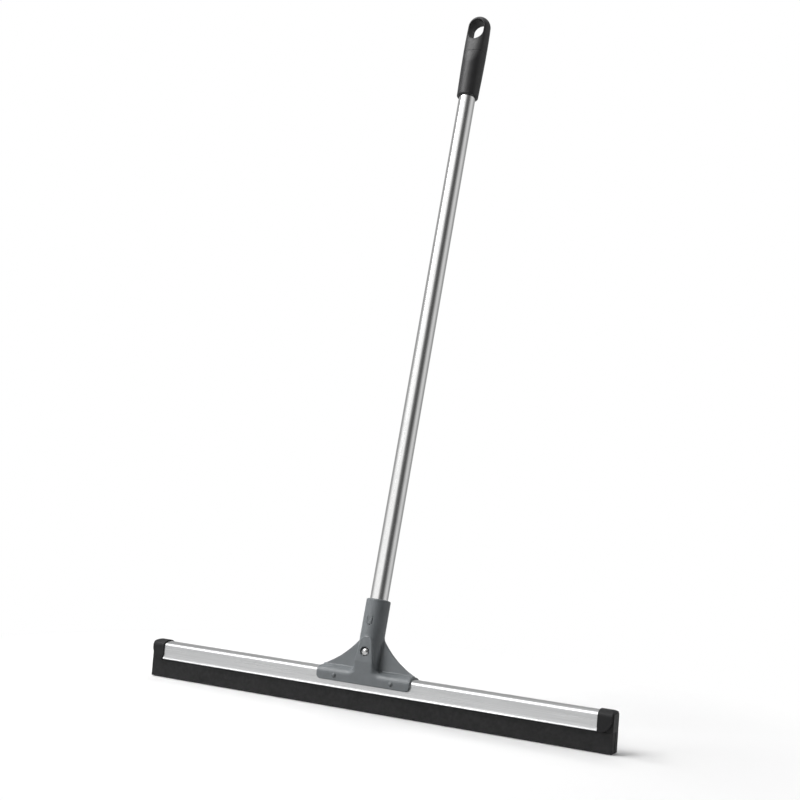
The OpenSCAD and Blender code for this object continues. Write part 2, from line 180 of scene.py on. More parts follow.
@dataclass(frozen=True)
class CrownSection:
    """Section with an arched crown and round shoulders, which channel, caps and saddle share.

    Attributes:
        half: Half depth of the channel.
        top: Height of the channel's crown.
        shoulder: Radius of its shoulders.
        arch: Radius of its crown.
        steps: Stretches of each arc in the outline.
    """

    half: float = 12.0
    top: float = 51.0
    shoulder: float = 5.0
    arch: float = 20.0
    steps: int = 8

    @property
    def spread(self) -> float:
        """Distance of a shoulder's centre from the middle."""
        return self.half - self.shoulder

    @property
    def rise(self) -> float:
        """Height of the shoulders' centres above the crown's centre."""
        return math.sqrt((self.arch - self.shoulder) ** 2 - self.spread**2)

    def field(self, y: Array, z: Array, grown: float) -> Array:
        """Distance field of the section, which stays open downwards.

        Args:
            y: Depth of the points.
            z: Height of the points.
            grown: How far the section is grown on every side.

        Returns:
            The field.
        """
        side, up = np.abs(y), z - self.top + self.arch
        bend = np.hypot(side - self.spread, up - self.rise) - self.shoulder
        flank = np.where(up < self.rise, side - self.half, bend)
        crown = np.hypot(side, up) - self.arch
        return np.where(side * self.rise < up * self.spread, crown, flank) - grown

    def outline(self, grown: float) -> list[Pair]:
        """Points up the rear shoulder and along the crown to its middle.

        Args:
            grown: How far the section is grown on every side.

        Returns:
            Points in the YZ plane.
        """
        turn = math.degrees(math.atan2(self.rise, self.spread))
        foot = self.top - self.arch
        bend = arc((self.spread, foot + self.rise), self.shoulder + grown, 0.0, turn, self.steps)
        return bend + arc((0.0, foot), self.arch + grown, turn, 90.0, self.steps)[1:]


CROWN = CrownSection()


@dataclass
class SurfaceNet:
    """Meshes the zero level of a distance field with quads.

    Attributes:
        cell: Size of a grid cell.
        margin: Cells of room below and above the box.
        passes: How often the points are drawn onto the surface.
        nudge: Step of the slope's differences.
        least_slope: Smallest squared slope that a pass reckons with.
        longest: Longest move of a point in a pass, in cells.
        sharp: Cosine between face and field below which a face is a later cut.
    """

    cell: float
    margin: Pair = (1.5, 2.5)
    passes: int = 4
    nudge: float = 0.02
    least_slope: float = 0.25
    longest: float = 0.4
    sharp: float = 0.5

    def mesh(self, name: str, field: Field, low: Point, high: Point) -> Mesh:
        """Mesh a field inside a box.

        Args:
            name: Name of the mesh.
            field: Distance field.
            low: Lowest corner that the surface reaches.
            high: Highest corner that the surface reaches.

        Returns:
            A closed mesh with the field's own normals.
        """
        below, above = (cells * self.cell for cells in self.margin)
        axes = [np.arange(a - below, b + above, self.cell) for a, b in zip(low, high)]
        values = self._sample(field, axes)
        index, points = self._points(values, axes)
        quads = self._quads(values < 0.0, index)
        for _ in range(self.passes):
            points = self._draw_onto(field, points)
        mesh = new_mesh(name, points, quads.tolist())
        self.shade(mesh, field)
        return mesh

    def shade(self, mesh: Mesh, field: Field) -> None:
        """Give a mesh the field's own normals, and flat ones to faces that later cuts have left.

        Args:
            mesh: Mesh whose points lie on the field's surface.
            field: Distance field, before any later cut.
        """
        points = np.array([point.co for point in mesh.vertices]) / MM
        slope = self._slope(field, points)
        slope /= np.maximum(np.linalg.norm(slope, axis=1, keepdims=True), TINY)
        normals = []
        for face in mesh.polygons:
            flat = np.array(face.normal)
            smooth = slope[list(face.vertices)]
            normals += [flat] * len(smooth) if (smooth @ flat).max() < self.sharp else list(smooth)
        mesh.normals_split_custom_set(normals)

    @staticmethod
    def _sample(field: Field, axes: list[Array]) -> Array:
        """Field values on the grid, worked out one slice at a time."""
        y, z = np.meshgrid(axes[1], axes[2], indexing="ij")
        return np.stack([field(np.full_like(y, x), y, z) for x in axes[0]]).astype(np.float32)

    def _points(self, values: Array, axes: list[Array]) -> tuple[Array, Array]:
        """Find one point in each cell that the surface crosses.

        Args:
            values: Field values on the grid.
            axes: Places of the grid's planes along each axis.

        Returns:
            The point number of each cell, and the points.
        """
        offsets = np.array([(i, j, k) for i in (0, 1) for j in (0, 1) for k in (0, 1)])
        inside = values < 0.0
        spans = [slice(None, -1), slice(1, None)]
        count = sum(inside[spans[i], spans[j], spans[k]].astype(np.int8) for i, j, k in offsets)
        cells = np.argwhere((count > 0) & (count < 8))
        index = np.full(count.shape, -1, dtype=np.int64)
        index[tuple(cells.T)] = np.arange(len(cells))
        corners = values[tuple((cells[:, None, :] + offsets[None]).transpose(2, 0, 1))].astype(float)
        total = np.zeros((len(cells), 3))
        hits = np.zeros((len(cells), 1))
        for a in range(8):
            for b in range(a + 1, 8):
                step = offsets[b] - offsets[a]
                if np.abs(step).sum() != 1:
                    continue
                crossed = (corners[:, a] < 0.0) != (corners[:, b] < 0.0)
                rise = np.where(crossed, corners[:, a] - corners[:, b], 1.0)
                share = corners[:, a] / rise
                total += crossed[:, None] * (offsets[a] + share[:, None] * step)
                hits += crossed[:, None]
        origin = np.array([axis[0] for axis in axes])
        return index, origin + self.cell * (cells + total / hits)

    @staticmethod
    def _quads(inside: Array, index: Array) -> Array:
        """Lay a quad round each grid edge that the surface crosses.

        Args:
            inside: Whether each grid point lies inside.
            index: Point number of each cell.

        Returns:
            Point numbers of the quads, facing outwards.
        """
        quads = []
        for axis in range(3):
            across, up = (axis + 1) % 3, (axis + 2) % 3
            span = [slice(1, -1)] * 3
            span[axis] = slice(None, -1)
            start = inside[tuple(span)]
            span[axis] = slice(1, None)
            spot = np.argwhere(start != inside[tuple(span)])
            leaving = start[tuple(spot.T)]
            spot[:, across] += 1
            spot[:, up] += 1
            ring = []
            for back_across, back_up in ((1, 1), (0, 1), (0, 0), (1, 0)):
                cell = spot.copy()
                cell[:, across] -= back_across
                cell[:, up] -= back_up
                ring.append(index[tuple(cell.T)])
            quad = np.stack(ring, axis=1)
            quads.append(np.where(leaving[:, None], quad, quad[:, ::-1]))
        return np.concatenate(quads)

    def _slope(self, field: Field, points: Array) -> Array:
        """Work out the slope of a field.

        Args:
            field: Distance field.
            points: Places where the slope is wanted.

        Returns:
            The gradient at each point.
        """
        columns = []
        for axis in range(3):
            step = np.zeros(3)
            step[axis] = self.nudge
            ahead, behind = points + step, points - step
            columns.append((field(*ahead.T) - field(*behind.T)) / (2.0 * self.nudge))
        return np.stack(columns, axis=1)

    def _draw_onto(self, field: Field, points: Array) -> Array:
        """Move points along the slope towards the zero level.

        Args:
            field: Distance field.
            points: Points near its surface.

        Returns:
            The moved points.
        """
        slope = self._slope(field, points)
        steep = np.maximum((slope**2).sum(axis=1), self.least_slope)
        limit = self.longest * self.cell
        reach = np.clip(field(*points.T) / steep, -limit, limit)
        return points - reach[:, None] * slope


# Plain meshes


def box_of(node: str) -> tuple[Point, ...]:
    """Lowest and highest corner of a solid, in millimetres."""
    return tuple(tuple(value / MM for value in corner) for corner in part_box(node))


def new_mesh(name: str, points: Any, faces: Sequence[Sequence[int]]) -> Mesh:
    """Make a smooth-shaded mesh.

    Args:
        name: Name of the mesh.
        points: Points in millimetres.
        faces: Point numbers of each face, facing outwards.

    Returns:
        The mesh, in metres.
    """
    mesh = bpy.data.meshes.new(name)
    mesh.from_pydata((np.asarray(points, dtype=float) * MM).tolist(), [], faces)
    mesh.validate()
    mesh.shade_smooth()
    return mesh


def from_shape(name: str, shape: bmesh.types.BMesh) -> Mesh:
    """Turn an editable shape into a mesh, and free it.

    Args:
        name: Name of the mesh.
        shape: Shape to turn.

    Returns:
        The mesh.
    """
    mesh = bpy.data.meshes.new(name)
    shape.to_mesh(mesh)
    shape.free()
    return mesh


def lathe(name: str, profile: Sequence[Pair], steps: int, ring: bool = False) -> Mesh:
    """Turn a profile about the Z axis.

    Args:
        name: Name of the mesh.
        profile: Radius and height of each point, with a pole at both ends unless it is a ring.
        steps: Number of turns of the profile.
        ring: Whether the profile closes on itself.

    Returns:
        The turned mesh, with its normals outwards.
    """
    shape = bmesh.new()
    rows = []
    for radius, height in profile:
        if radius == 0.0:
            rows.append([shape.verts.new((0.0, 0.0, height * MM))] * steps)
            continue
        angles = [2.0 * math.pi * i / steps for i in range(steps)]
        rows.append([shape.verts.new((radius * math.cos(a) * MM, radius * math.sin(a) * MM, height * MM))
                     for a in angles])
    pairs = list(zip(rows, rows[1:]))
    if ring:
        pairs.append((rows[-1], rows[0]))
    for low, high in pairs:
        for i in range(steps):
            loop = [low[i], low[(i + 1) % steps], high[(i + 1) % steps], high[i]]
            corners = list(dict.fromkeys(loop))
            shape.faces.new(corners)
    bmesh.ops.recalc_face_normals(shape, faces=shape.faces)
    mesh = from_shape(name, shape)
    mesh.shade_smooth()
    return mesh


def keep_edges(mesh: Mesh, degrees: float = 32.0) -> Mesh:
    """Keep edges sharper than an angle crisp in the shading."""
    mesh.set_sharp_from_angle(angle=math.radians(degrees))
    return mesh


def merged(name: str, meshes: Sequence[Mesh]) -> Mesh:
    """Put several meshes together as one that has the first one's materials.

    Args:
        name: Name of the new mesh.
        meshes: Meshes to put together.

    Returns:
        The new mesh.
    """
    shape = bmesh.new()
    for mesh in meshes:
        shape.from_mesh(mesh)
    whole = from_shape(name, shape)
    for material in meshes[0].materials:
        whole.materials.append(material)
    return whole


def linked(name: str, mesh: Mesh) -> Object:
    """Put a mesh in the scene as an object at the origin.

    Args:
        name: Name of the object.
        mesh: Its mesh.

    Returns:
        The object.
    """
    thing = bpy.data.objects.new(name, mesh)
    bpy.context.scene.collection.objects.link(thing)
    return thing


def settle(host: Object) -> Mesh:
    """Turn an object and its modifiers into a plain mesh, and take the object away.

    Args:
        host: Object whose modifiers make the shape.

    Returns:
        The evaluated mesh.
    """
    bpy.context.view_layer.update()
    depsgraph = bpy.context.evaluated_depsgraph_get()
    mesh = bpy.data.meshes.new_from_object(host.evaluated_get(depsgraph))
    mesh.name = host.name
    bpy.data.objects.remove(host)
    return mesh


def cut_out(mesh: Mesh, tool: Mesh) -> Mesh:
    """Take the shape of a tool out of a mesh.

    Args:
        mesh: Closed mesh that is cut.
        tool: Closed mesh that is taken away.

    Returns:
        The cut mesh.
    """
    host, cutter = linked(mesh.name, mesh), linked(tool.name, tool)
    saw = host.modifiers.new("saw", "BOOLEAN")
    saw.operation = "DIFFERENCE"
    saw.solver = "EXACT"
    saw.object = cutter
    result = settle(host)
    bpy.data.objects.remove(cutter)
    return result


def place(mesh: Mesh, name: str, body: Body, slot: Slot, nodes: Sequence[str]) -> Object:
    """Put a finished piece on its body, in place of the solids that it stands for.

    Args:
        mesh: Finished mesh with its material.
        name: Name of the piece.
        body: Body that carries it.
        slot: Slot of the piece; not used.
        nodes: Solids that it replaces.

    Returns:
        The piece.
    """
    piece = linked(name, mesh)
    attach(piece, body.value)
    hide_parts(*nodes)
    LOG.info("%s: %d faces on %s, for %s", name, len(mesh.polygons), body.value, ", ".join(nodes))
    return piece


# Node trees


class NodeSheet:
    """Adds nodes to a tree and joins them."""

    def __init__(self, tree: NodeTree) -> None:
        """Start on a tree."""
        self.tree = tree

    def add(self, kind: str, settings: dict[str, Any] | None = None, **values: Any) -> Node:
        """Add one node.

        Args:
            kind: Type name of the node.
            settings: Values for its input sockets, by socket name.
            values: Properties of the node itself.

        Returns:
            The node.
        """
        node = self.tree.nodes.new(kind)
        for key, value in values.items():
            setattr(node, key, value)
        for key, value in (settings or {}).items():
            node.inputs[key].default_value = value
        return node

    def join(self, source: Any, target: Any) -> None:
        """Join an output socket to an input socket."""
        self.tree.links.new(source, target)

    def math(self, operation: str, *values: Any) -> Any:
        """Add a node that works out a number.

        Args:
            operation: What it works out.
            values: Its inputs, each a number or an output socket.

        Returns:
            The node's output.
        """
        node = self.add("ShaderNodeMath", operation=operation)
        for socket, value in zip(node.inputs, values):
            if isinstance(value, float):
                socket.default_value = value
            else:
                self.join(value, socket)
        return node.outputs[0]

    def span(self, source: Any, given: Pair, wanted: Pair = (0.0, 1.0), smooth: bool = False) -> Any:
        """Add a node that maps one range of numbers onto another.

        Args:
            source: Socket of the number.
            given: Ends of its range.
            wanted: Ends of the new range.
            smooth: Whether the ends run out softly.

        Returns:
            The node's output.
        """
        node = self.add("ShaderNodeMapRange", interpolation_type="SMOOTHSTEP" if smooth else "LINEAR")
        for number, value in enumerate((*given, *wanted), start=1):
            node.inputs[number].default_value = value
        self.join(source, node.inputs[0])
        return node.outputs[0]

    def mix(self, share: Any, first: Any, second: Any) -> Any:
        """Add a node that mixes two shaders.

        Args:
            share: Socket of the second shader's share.
            first: First shader.
            second: Second shader.

        Returns:
            The node's output.
        """
        node = self.add("ShaderNodeMixShader")
        for source, socket in zip((share, first, second), node.inputs):
            self.join(source, socket)
        return node.outputs[0]


def start_tree(name: str, inputs: dict[str, str], output: str) -> tuple[NodeSheet, Any]:
    """Start a Geometry Nodes tree.

    Args:
        name: Name of the tree.
        inputs: Kind of each input, by its name.
        output: Name of the geometry that it gives.

    Returns:
        The tree's sheet, and the sockets of its inputs.
    """
    tree = bpy.data.node_groups.new(name, "GeometryNodeTree")
    for label, kind in inputs.items():
        tree.interface.new_socket(label, in_out="INPUT", socket_type=f"NodeSocket{kind}")
    tree.interface.new_socket(output, in_out="OUTPUT", socket_type="NodeSocketGeometry")
    sheet = NodeSheet(tree)
    return sheet, sheet.add("NodeGroupInput").outputs


def end_tree(sheet: NodeSheet, shape: Any, finish: Any) -> NodeTree:
    """End a Geometry Nodes tree: make its shape real and dress it.

    Args:
        sheet: Sheet of the tree.
        shape: Socket of the shape.
        finish: Socket of its material.

    Returns:
        The tree.
    """
    real = sheet.add("GeometryNodeRealizeInstances")
    dress = sheet.add("GeometryNodeSetMaterial")
    result = sheet.add("NodeGroupOutput")
    sheet.join(shape, real.inputs["Geometry"])
    sheet.join(real.outputs["Geometry"], dress.inputs["Geometry"])
    sheet.join(finish, dress.inputs["Material"])
    sheet.join(dress.outputs["Geometry"], result.inputs[0])
    return sheet.tree


def sweep_tree() -> NodeTree:
    """Build the tree that draws a flat section out into a closed bar.

    Returns:
        The tree, with inputs Section, Run and Finish.
    """
    inputs = {"Section": "Geometry", "Run": "Vector", "Finish": "Material"}
    sheet, given = start_tree("section_sweep", inputs, "Bar")
    drawn = sheet.add("GeometryNodeExtrudeMesh", {"Offset Scale": 1.0, "Individual": False}, mode="FACES")
    start = sheet.add("GeometryNodeFlipFaces")
    whole = sheet.add("GeometryNodeJoinGeometry")
    weld = sheet.add("GeometryNodeMergeByDistance", {"Distance": WELD})
    sheet.join(given["Section"], drawn.inputs["Mesh"])
    sheet.join(given["Run"], drawn.inputs["Offset"])
    sheet.join(given["Section"], start.inputs["Mesh"])
    sheet.join(drawn.outputs["Mesh"], whole.inputs["Geometry"])
    sheet.join(start.outputs["Mesh"], whole.inputs["Geometry"])
    sheet.join(whole.outputs["Geometry"], weld.inputs["Geometry"])
    return end_tree(sheet, weld.outputs["Geometry"], given["Finish"])


def row_tree() -> NodeTree:
    """Build the tree that sets one fastener out in an even row.

    Returns:
        The tree, with inputs Fastener, Count, First, Pitch and Finish.
    """
    inputs = {"Fastener": "Geometry", "Count": "Int", "First": "Vector", "Pitch": "Vector",
              "Finish": "Material"}
    sheet, given = start_tree("fastener_row", inputs, "Row")
    line = sheet.add("GeometryNodeMeshLine", mode="OFFSET")
    copies = sheet.add("GeometryNodeInstanceOnPoints")
    sheet.join(given["Count"], line.inputs["Count"])
    sheet.join(given["First"], line.inputs["Start Location"])
    sheet.join(given["Pitch"], line.inputs["Offset"])
    sheet.join(line.outputs["Mesh"], copies.inputs["Points"])
    sheet.join(given["Fastener"], copies.inputs["Instance"])
    return end_tree(sheet, copies.outputs["Instances"], given["Finish"])


def grow(mesh: Mesh, tree: NodeTree, inputs: dict[str, Any]) -> Mesh:
    """Run a tree on a mesh.

    Args:
        mesh: Geometry that the tree starts from.
        tree: Tree to run.
        inputs: Values of its other inputs, by name.

    Returns:
        The grown mesh.
    """
    host = linked(mesh.name, mesh)
    modifier = host.modifiers.new("tree", "NODES")
    modifier.node_group = tree
    for item in tree.interface.items_tree:
        if item.in_out == "INPUT" and item.name in inputs:
            modifier[item.identifier] = inputs[item.name]
    grown = settle(host)
    grown.shade_smooth()
    return keep_edges(grown)


# Finishes


@dataclass(frozen=True)
class Grain:
    """Noise that breaks up a surface.

    Attributes:
        scale: Spots per metre along X, Y and Z.
        turn: Turn of the pattern about X, in degrees.
        detail: Finer layers on top of the first.
        roughness: Strength of those layers.
    """

    scale: Point
    turn: float = 0.0
    detail: float = 2.0
    roughness: float = 0.55

    def socket(self, sheet: NodeSheet) -> Any:
        """Add the noise on object coordinates.

        Args:
            sheet: Sheet of the material.

        Returns:
            The noise's output, about 0.5 on average.
        """
        spot = sheet.add("ShaderNodeTexCoord")
        turn = (math.radians(self.turn), 0.0, 0.0)
        fit = sheet.add("ShaderNodeMapping", {"Scale": self.scale, "Rotation": turn})
        layers = {"Scale": 1.0, "Detail": self.detail, "Roughness": self.roughness}
        noise = sheet.add("ShaderNodeTexNoise", layers)
        sheet.join(spot.outputs["Object"], fit.inputs["Vector"])
        sheet.join(fit.outputs["Vector"], noise.inputs["Vector"])
        return noise.outputs["Fac"]


def even(scale: float, detail: float = 2.0) -> Grain:
    """Grain that is the same along every axis."""
    return Grain((scale, scale, scale), detail=detail)


@dataclass(frozen=True)
class Finish:
    """Surface of one material.

    Attributes:
        name: Name of the material.
        dark: Colour in the low spots of the tone grain.
        light: Colour in its high spots.
        metallic: One for bare metal, nought for plastic and rubber.
        gloss: Roughness in the low and high spots of the gloss grain.
        tone: Grain that shades the colour.
        wear: Grain that changes the gloss.
        relief: Grain that lifts the surface.
        depth: Height of the relief.
        specular: Strength of the reflection of plastic and rubber.
        anisotropy: How far reflections stretch across drawn lines.
        spots: Value of a grain in its low and high spots.
    """

    name: str
    dark: Colour
    light: Colour
    metallic: float
    gloss: Pair
    tone: Grain
    wear: Grain
    relief: Grain
    depth: float
    specular: float = 0.5
    anisotropy: float = 0.0
    spots: Pair = (0.3, 0.7)

    def material(self) -> Material:
        """Build the material, or find it where it is built already.

        Returns:
            The node material.
        """
        known = bpy.data.materials.get(self.name)
        if known:
            return known
        material = bpy.data.materials.new(self.name)
        material.use_nodes = True
        sheet = NodeSheet(material.node_tree)
        shader = material.node_tree.nodes["Principled BSDF"].inputs
        shader["Metallic"].default_value = self.metallic
        shader["Specular IOR Level"].default_value = self.specular
        shader["Anisotropic"].default_value = self.anisotropy
        ramp = sheet.add("ShaderNodeValToRGB")
        for stop, spot, colour in zip(ramp.color_ramp.elements, self.spots, (self.dark, self.light)):
            stop.position = spot
            stop.color = (*colour, 1.0)
        bump = sheet.add("ShaderNodeBump", {"Strength": 1.0, "Distance": self.depth * MM})
        sheet.join(self.tone.socket(sheet), ramp.inputs["Fac"])
        sheet.join(ramp.outputs["Color"], shader["Base Color"])
        sheet.join(sheet.span(self.wear.socket(sheet), self.spots, self.gloss), shader["Roughness"])
        sheet.join(self.relief.socket(sheet), bump.inputs["Height"])
        sheet.join(bump.outputs["Normal"], shader["Normal"])
        return material


HANDLE_LEAN = math.degrees(math.atan2(-frame["joints"][0]["axis"][2], frame["joints"][0]["axis"][1]))

CHANNEL_FINISH = Finish(
    "drawn_aluminium", (0.41, 0.413, 0.416), (0.51, 0.513, 0.516), metallic=1.0, gloss=(0.26, 0.38),
    tone=Grain((9.0, 1500.0, 1500.0)), wear=Grain((5.0, 700.0, 700.0)),
    relief=Grain((6.0, 2200.0, 2200.0)), depth=0.012, anisotropy=0.35)
RUBBER_FINISH = Finish(
    "cellular_rubber", (0.0095, 0.0095, 0.010), (0.0155, 0.0155, 0.016), metallic=0.0, gloss=(0.62, 0.80),
    tone=even(60.0, 4.0), wear=even(220.0), relief=even(1900.0), depth=0.06, specular=0.32)
CAP_FINISH = Finish(
    "black_cap_plastic", (0.006, 0.006, 0.0065), (0.0095, 0.0095, 0.010), metallic=0.0, gloss=(0.50, 0.62),
    tone=even(90.0), wear=even(260.0), relief=even(2400.0), depth=0.02, specular=0.26)
HOLDER_FINISH = Finish(
    "grey_moulded_plastic", (0.136, 0.148, 0.156), (0.158, 0.171, 0.180), metallic=0.0, gloss=(0.34, 0.46),
    tone=even(70.0, 3.0), wear=even(180.0), relief=even(2600.0), depth=0.018)
RIVET_FINISH = Finish(
    "grey_rivet_coat", (0.115, 0.127, 0.134), (0.150, 0.162, 0.170), metallic=0.0, gloss=(0.18, 0.26),
    tone=even(400.0), wear=even(600.0), relief=even(1500.0), depth=0.02)
WASHER_FINISH = Finish(
    "bright_washer", (0.55, 0.55, 0.56), (0.68, 0.68, 0.69), metallic=1.0, gloss=(0.22, 0.38),
    tone=even(500.0), wear=even(700.0), relief=Grain((900.0, 2500.0, 900.0)), depth=0.01)
TUBE_FINISH = Finish(
    "bright_steel_tube", (0.70, 0.70, 0.70), (0.78, 0.78, 0.775), metallic=1.0, gloss=(0.13, 0.20),
    tone=Grain((600.0, 600.0, 5.0), turn=HANDLE_LEAN), wear=Grain((300.0, 300.0, 8.0), turn=HANDLE_LEAN),
    relief=Grain((1400.0, 1400.0, 4.0), turn=HANDLE_LEAN), depth=0.002)
GRIP_FINISH = Finish(
    "satin_black_grip", (0.013, 0.013, 0.014), (0.021, 0.021, 0.022), metallic=0.0, gloss=(0.38, 0.50),
    tone=even(60.0, 3.0), wear=even(160.0), relief=even(2300.0), depth=0.02, specular=0.42)
BUTTON_FINISH = Finish(
    "plated_button", (0.42, 0.42, 0.42), (0.50, 0.50, 0.50), metallic=1.0, gloss=(0.22, 0.28),
    tone=even(500.0), wear=even(500.0), relief=even(1200.0), depth=0.002)
SPRING_FINISH = Finish(
    "rolled_spring_steel", (0.40, 0.41, 0.44), (0.52, 0.53, 0.55), metallic=1.0, gloss=(0.28, 0.42),
    tone=Grain((300.0, 300.0, 20.0)), wear=Grain((300.0, 300.0, 20.0)),
    relief=Grain((900.0, 900.0, 12.0)), depth=0.008)
SPREADER_FINISH = Finish(
    "dark_spreader_strip", (0.045, 0.045, 0.048), (0.065, 0.065, 0.068), metallic=0.0, gloss=(0.50, 0.62),
    tone=Grain((60.0, 300.0, 300.0)), wear=Grain((60.0, 400.0, 400.0)),
    relief=Grain((400.0, 1800.0, 1800.0)), depth=0.02)


# Sub-assemblies


@dataclass(frozen=True)
class HandleLine:
    """Axis of the handle, leaning back from the head, and the sizes that pieces on it share.

    Attributes:
        lean: Lean from upright, in degrees.
        lead: Where the axis meets the floor, ahead of the head's middle.
        foot: Height of the tube's foot along the axis.
        button_rise: Height of the button above that foot.
        tube: Outer radius of the tube.
        fit: Room between the tube and a bore that takes it.
    """

    lean: float = HANDLE_LEAN
    lead: float = 15.0
    foot: float = 64.55
    button_rise: float = 14.0
    tube: float = 12.5
    fit: float = 0.2

    @property
    def button(self) -> float:
        """Height of the button along the axis."""
        return self.foot + self.button_rise

    @property
    def bore(self) -> float:
        """Radius of a bore that takes the tube."""
        return self.tube + self.fit

    def local(self, y: Array, z: Array) -> tuple[Array, Array]:
        """Change points to the handle's own frame.

        Args:
            y: Depth of the points.
            z: Height of the points.

        Returns:
            Depth behind the axis, and height along it.
        """
        angle = math.radians(self.lean)
        ahead = y + self.lead
        return ahead * math.cos(angle) - z * math.sin(angle), ahead * math.sin(angle) + z * math.cos(angle)

    def matrix(self) -> Matrix:
        """Move from the handle's own frame to the model's, in metres."""
        lean = Matrix.Rotation(-math.radians(self.lean), 4, "X")
        return Matrix.Translation((0.0, -self.lead * MM, 0.0)) @ lean

    def button_matrix(self) -> Matrix:
        """Move from a turned piece's frame to the button's axis, in the handle's own frame."""
        return Matrix.Translation((0.0, 0.0, self.button * MM)) @ Matrix.Rotation(math.pi / 2, 4, "X")


@dataclass
class Head:
    """Aluminium channel with its two rubber strips and the strip between them.

    Attributes:
        wall: Wall of the channel.
        lip_height: Height of the flared lip.
        lip_flare: How far the lip stands out.
        lip_edge: Radius of the lip's rounded edge.
        lip_turn: Angles where that edge starts and ends, in degrees.
        lip_steps: Stretches of that edge.
        lip_end: Where the lip ends along the head.
        held: Half length of rubber inside the channel.
        held_inset: How far that rubber lies inside the channel's outline.
        blade_top: Top of the rubber below the channel.
        soft_edge: Edge radius of the rubber.
    """

    wall: float = 1.5
    lip_height: float = 4.5
    lip_flare: float = 1.8
    lip_edge: float = 0.7
    lip_turn: Pair = (-90.0, 40.0)
    lip_steps: int = 6
    lip_end: float = 329.8
    held: float = 317.6
    held_inset: float = 1.7
    blade_top: float = 25.8
    soft_edge: float = 0.3

    def channel_section(self, foot: float, lipped: bool) -> list[Pair]:
        """Outline of the channel across the head.

        Args:
            foot: Height of its underside.
            lipped: Whether it has the flared lips.

        Returns:
            Points in the YZ plane, in order round the wall.
        """
        flare = CROWN.half + self.lip_flare - self.lip_edge
        lip = arc((flare, foot + self.lip_edge), self.lip_edge, *self.lip_turn, self.lip_steps)
        lip.append((CROWN.half, foot + self.lip_height))
        plain = [(CROWN.half, foot)]
        rear = [(CROWN.half - self.wall, foot), *(lip if lipped else plain), *CROWN.outline(0.0)]
        hollow = CROWN.outline(-self.wall)
        front = [(-y, z) for y, z in reversed(rear[:-1])]
        under = [(-y, z) for y, z in hollow] + hollow[-2::-1]
        return rear + front + under

    def build(self, sweep: NodeTree) -> None:
        """Make the channel and the rubber, and dress the strip between.

        Args:
            sweep: Tree that draws sections out.
        """
        self._channel(sweep)
        for node, name in (("front_blade", "front_rubber"), ("rear_blade", "rear_rubber")):
            self._blade(sweep, node, name)
        dress_node("blade_spreader", SPREADER_FINISH)

    @staticmethod
    def _bar(sweep: NodeTree, outline: Sequence[Pair], start: float, stop: float, material: Material) -> Mesh:
        """Draw an outline in the YZ plane out along the head.

        Args:
            sweep: Tree that draws sections out.
            outline: Points of the outline, in order.
            start: Where the bar starts along the head.
            stop: Where it ends.
            material: Its material.

        Returns:
            The bar's mesh.
        """
        section = new_mesh("head_bar", [(start, y, z) for y, z in outline], [list(range(len(outline)))])
        return grow(section, sweep, {"Run": ((stop - start) * MM, 0.0, 0.0), "Finish": material})

    def _channel(self, sweep: NodeTree) -> None:
        """Sweep the channel's section along the head, without lips under the caps.

        Args:
            sweep: Tree that draws sections out.
        """
        (_, _, foot), (end, _, _) = box_of("channel")
        lip = self.lip_end
        runs = ((-lip, lip, True), (-end, -lip, False), (lip, end, False))
        material = CHANNEL_FINISH.material()
        bars = [self._bar(sweep, self.channel_section(foot, lipped), start, stop, material)
                for start, stop, lipped in runs]
        place(merged("channel_rail", bars), "channel_rail", Body.SQUEEGEE, Slot.CHANNEL, ["channel"])

    def _blade(self, sweep: NodeTree, node: str, name: str) -> None:
        """Sweep a strip below the channel and its shorter part inside, and soften its edges.

        Args:
            sweep: Tree that draws sections out.
            node: Solid of the strip.
            name: Name of the piece.
        """
        (_, front, _), (end, rear, _) = box_of(node)
        near, far = sorted((abs(front), abs(rear)))
        sign = math.copysign(1.0, front + rear)
        inside = [(y, z) for y, z in CROWN.outline(-self.held_inset) if y > near]
        held = [(near, self.blade_top), (far, self.blade_top), *inside, (near, inside[-1][1])]
        below = [(near, 0.0), (far, 0.0), (far, self.blade_top), (near, self.blade_top)]
        bars = []
        for outline, half in ((below, end), (held, self.held)):
            placed = [(sign * y, z) for y, z in outline]
            ordered = placed if sign > 0.0 else placed[::-1]
            bars.append(self._bar(sweep, ordered, -half, half, RUBBER_FINISH.material()))
        piece = place(merged(name, bars), name, Body.SQUEEGEE, Slot.RUBBER, [node])
        soften(piece, self.soft_edge)


def soften(piece: Object, width: float, segments: int = 3, degrees: float = 40.0) -> None:
    """Round the edges of a piece with a bevel.

    Args:
        piece: Piece to soften.
        width: Width of the bevel.
        segments: Rows of faces across it.
        degrees: Angle from which an edge is rounded.
    """
    bevel = piece.modifiers.new("soft_edges", "BEVEL")
    bevel.width = width * MM
    bevel.segments = segments
    bevel.limit_method = "ANGLE"
    bevel.angle_limit = math.radians(degrees)
    bevel.harden_normals = True


def dress_node(node: str, finish: Finish) -> None:
    """Give a solid that stays in view its finish.

    Args:
        node: Name of the solid.
        finish: Its finish.
    """
    mesh = frame["nodes"][node].data
    mesh.materials.clear()
    mesh.materials.append(finish.material())
    LOG.info("%s: dressed in %s", node, finish.name)


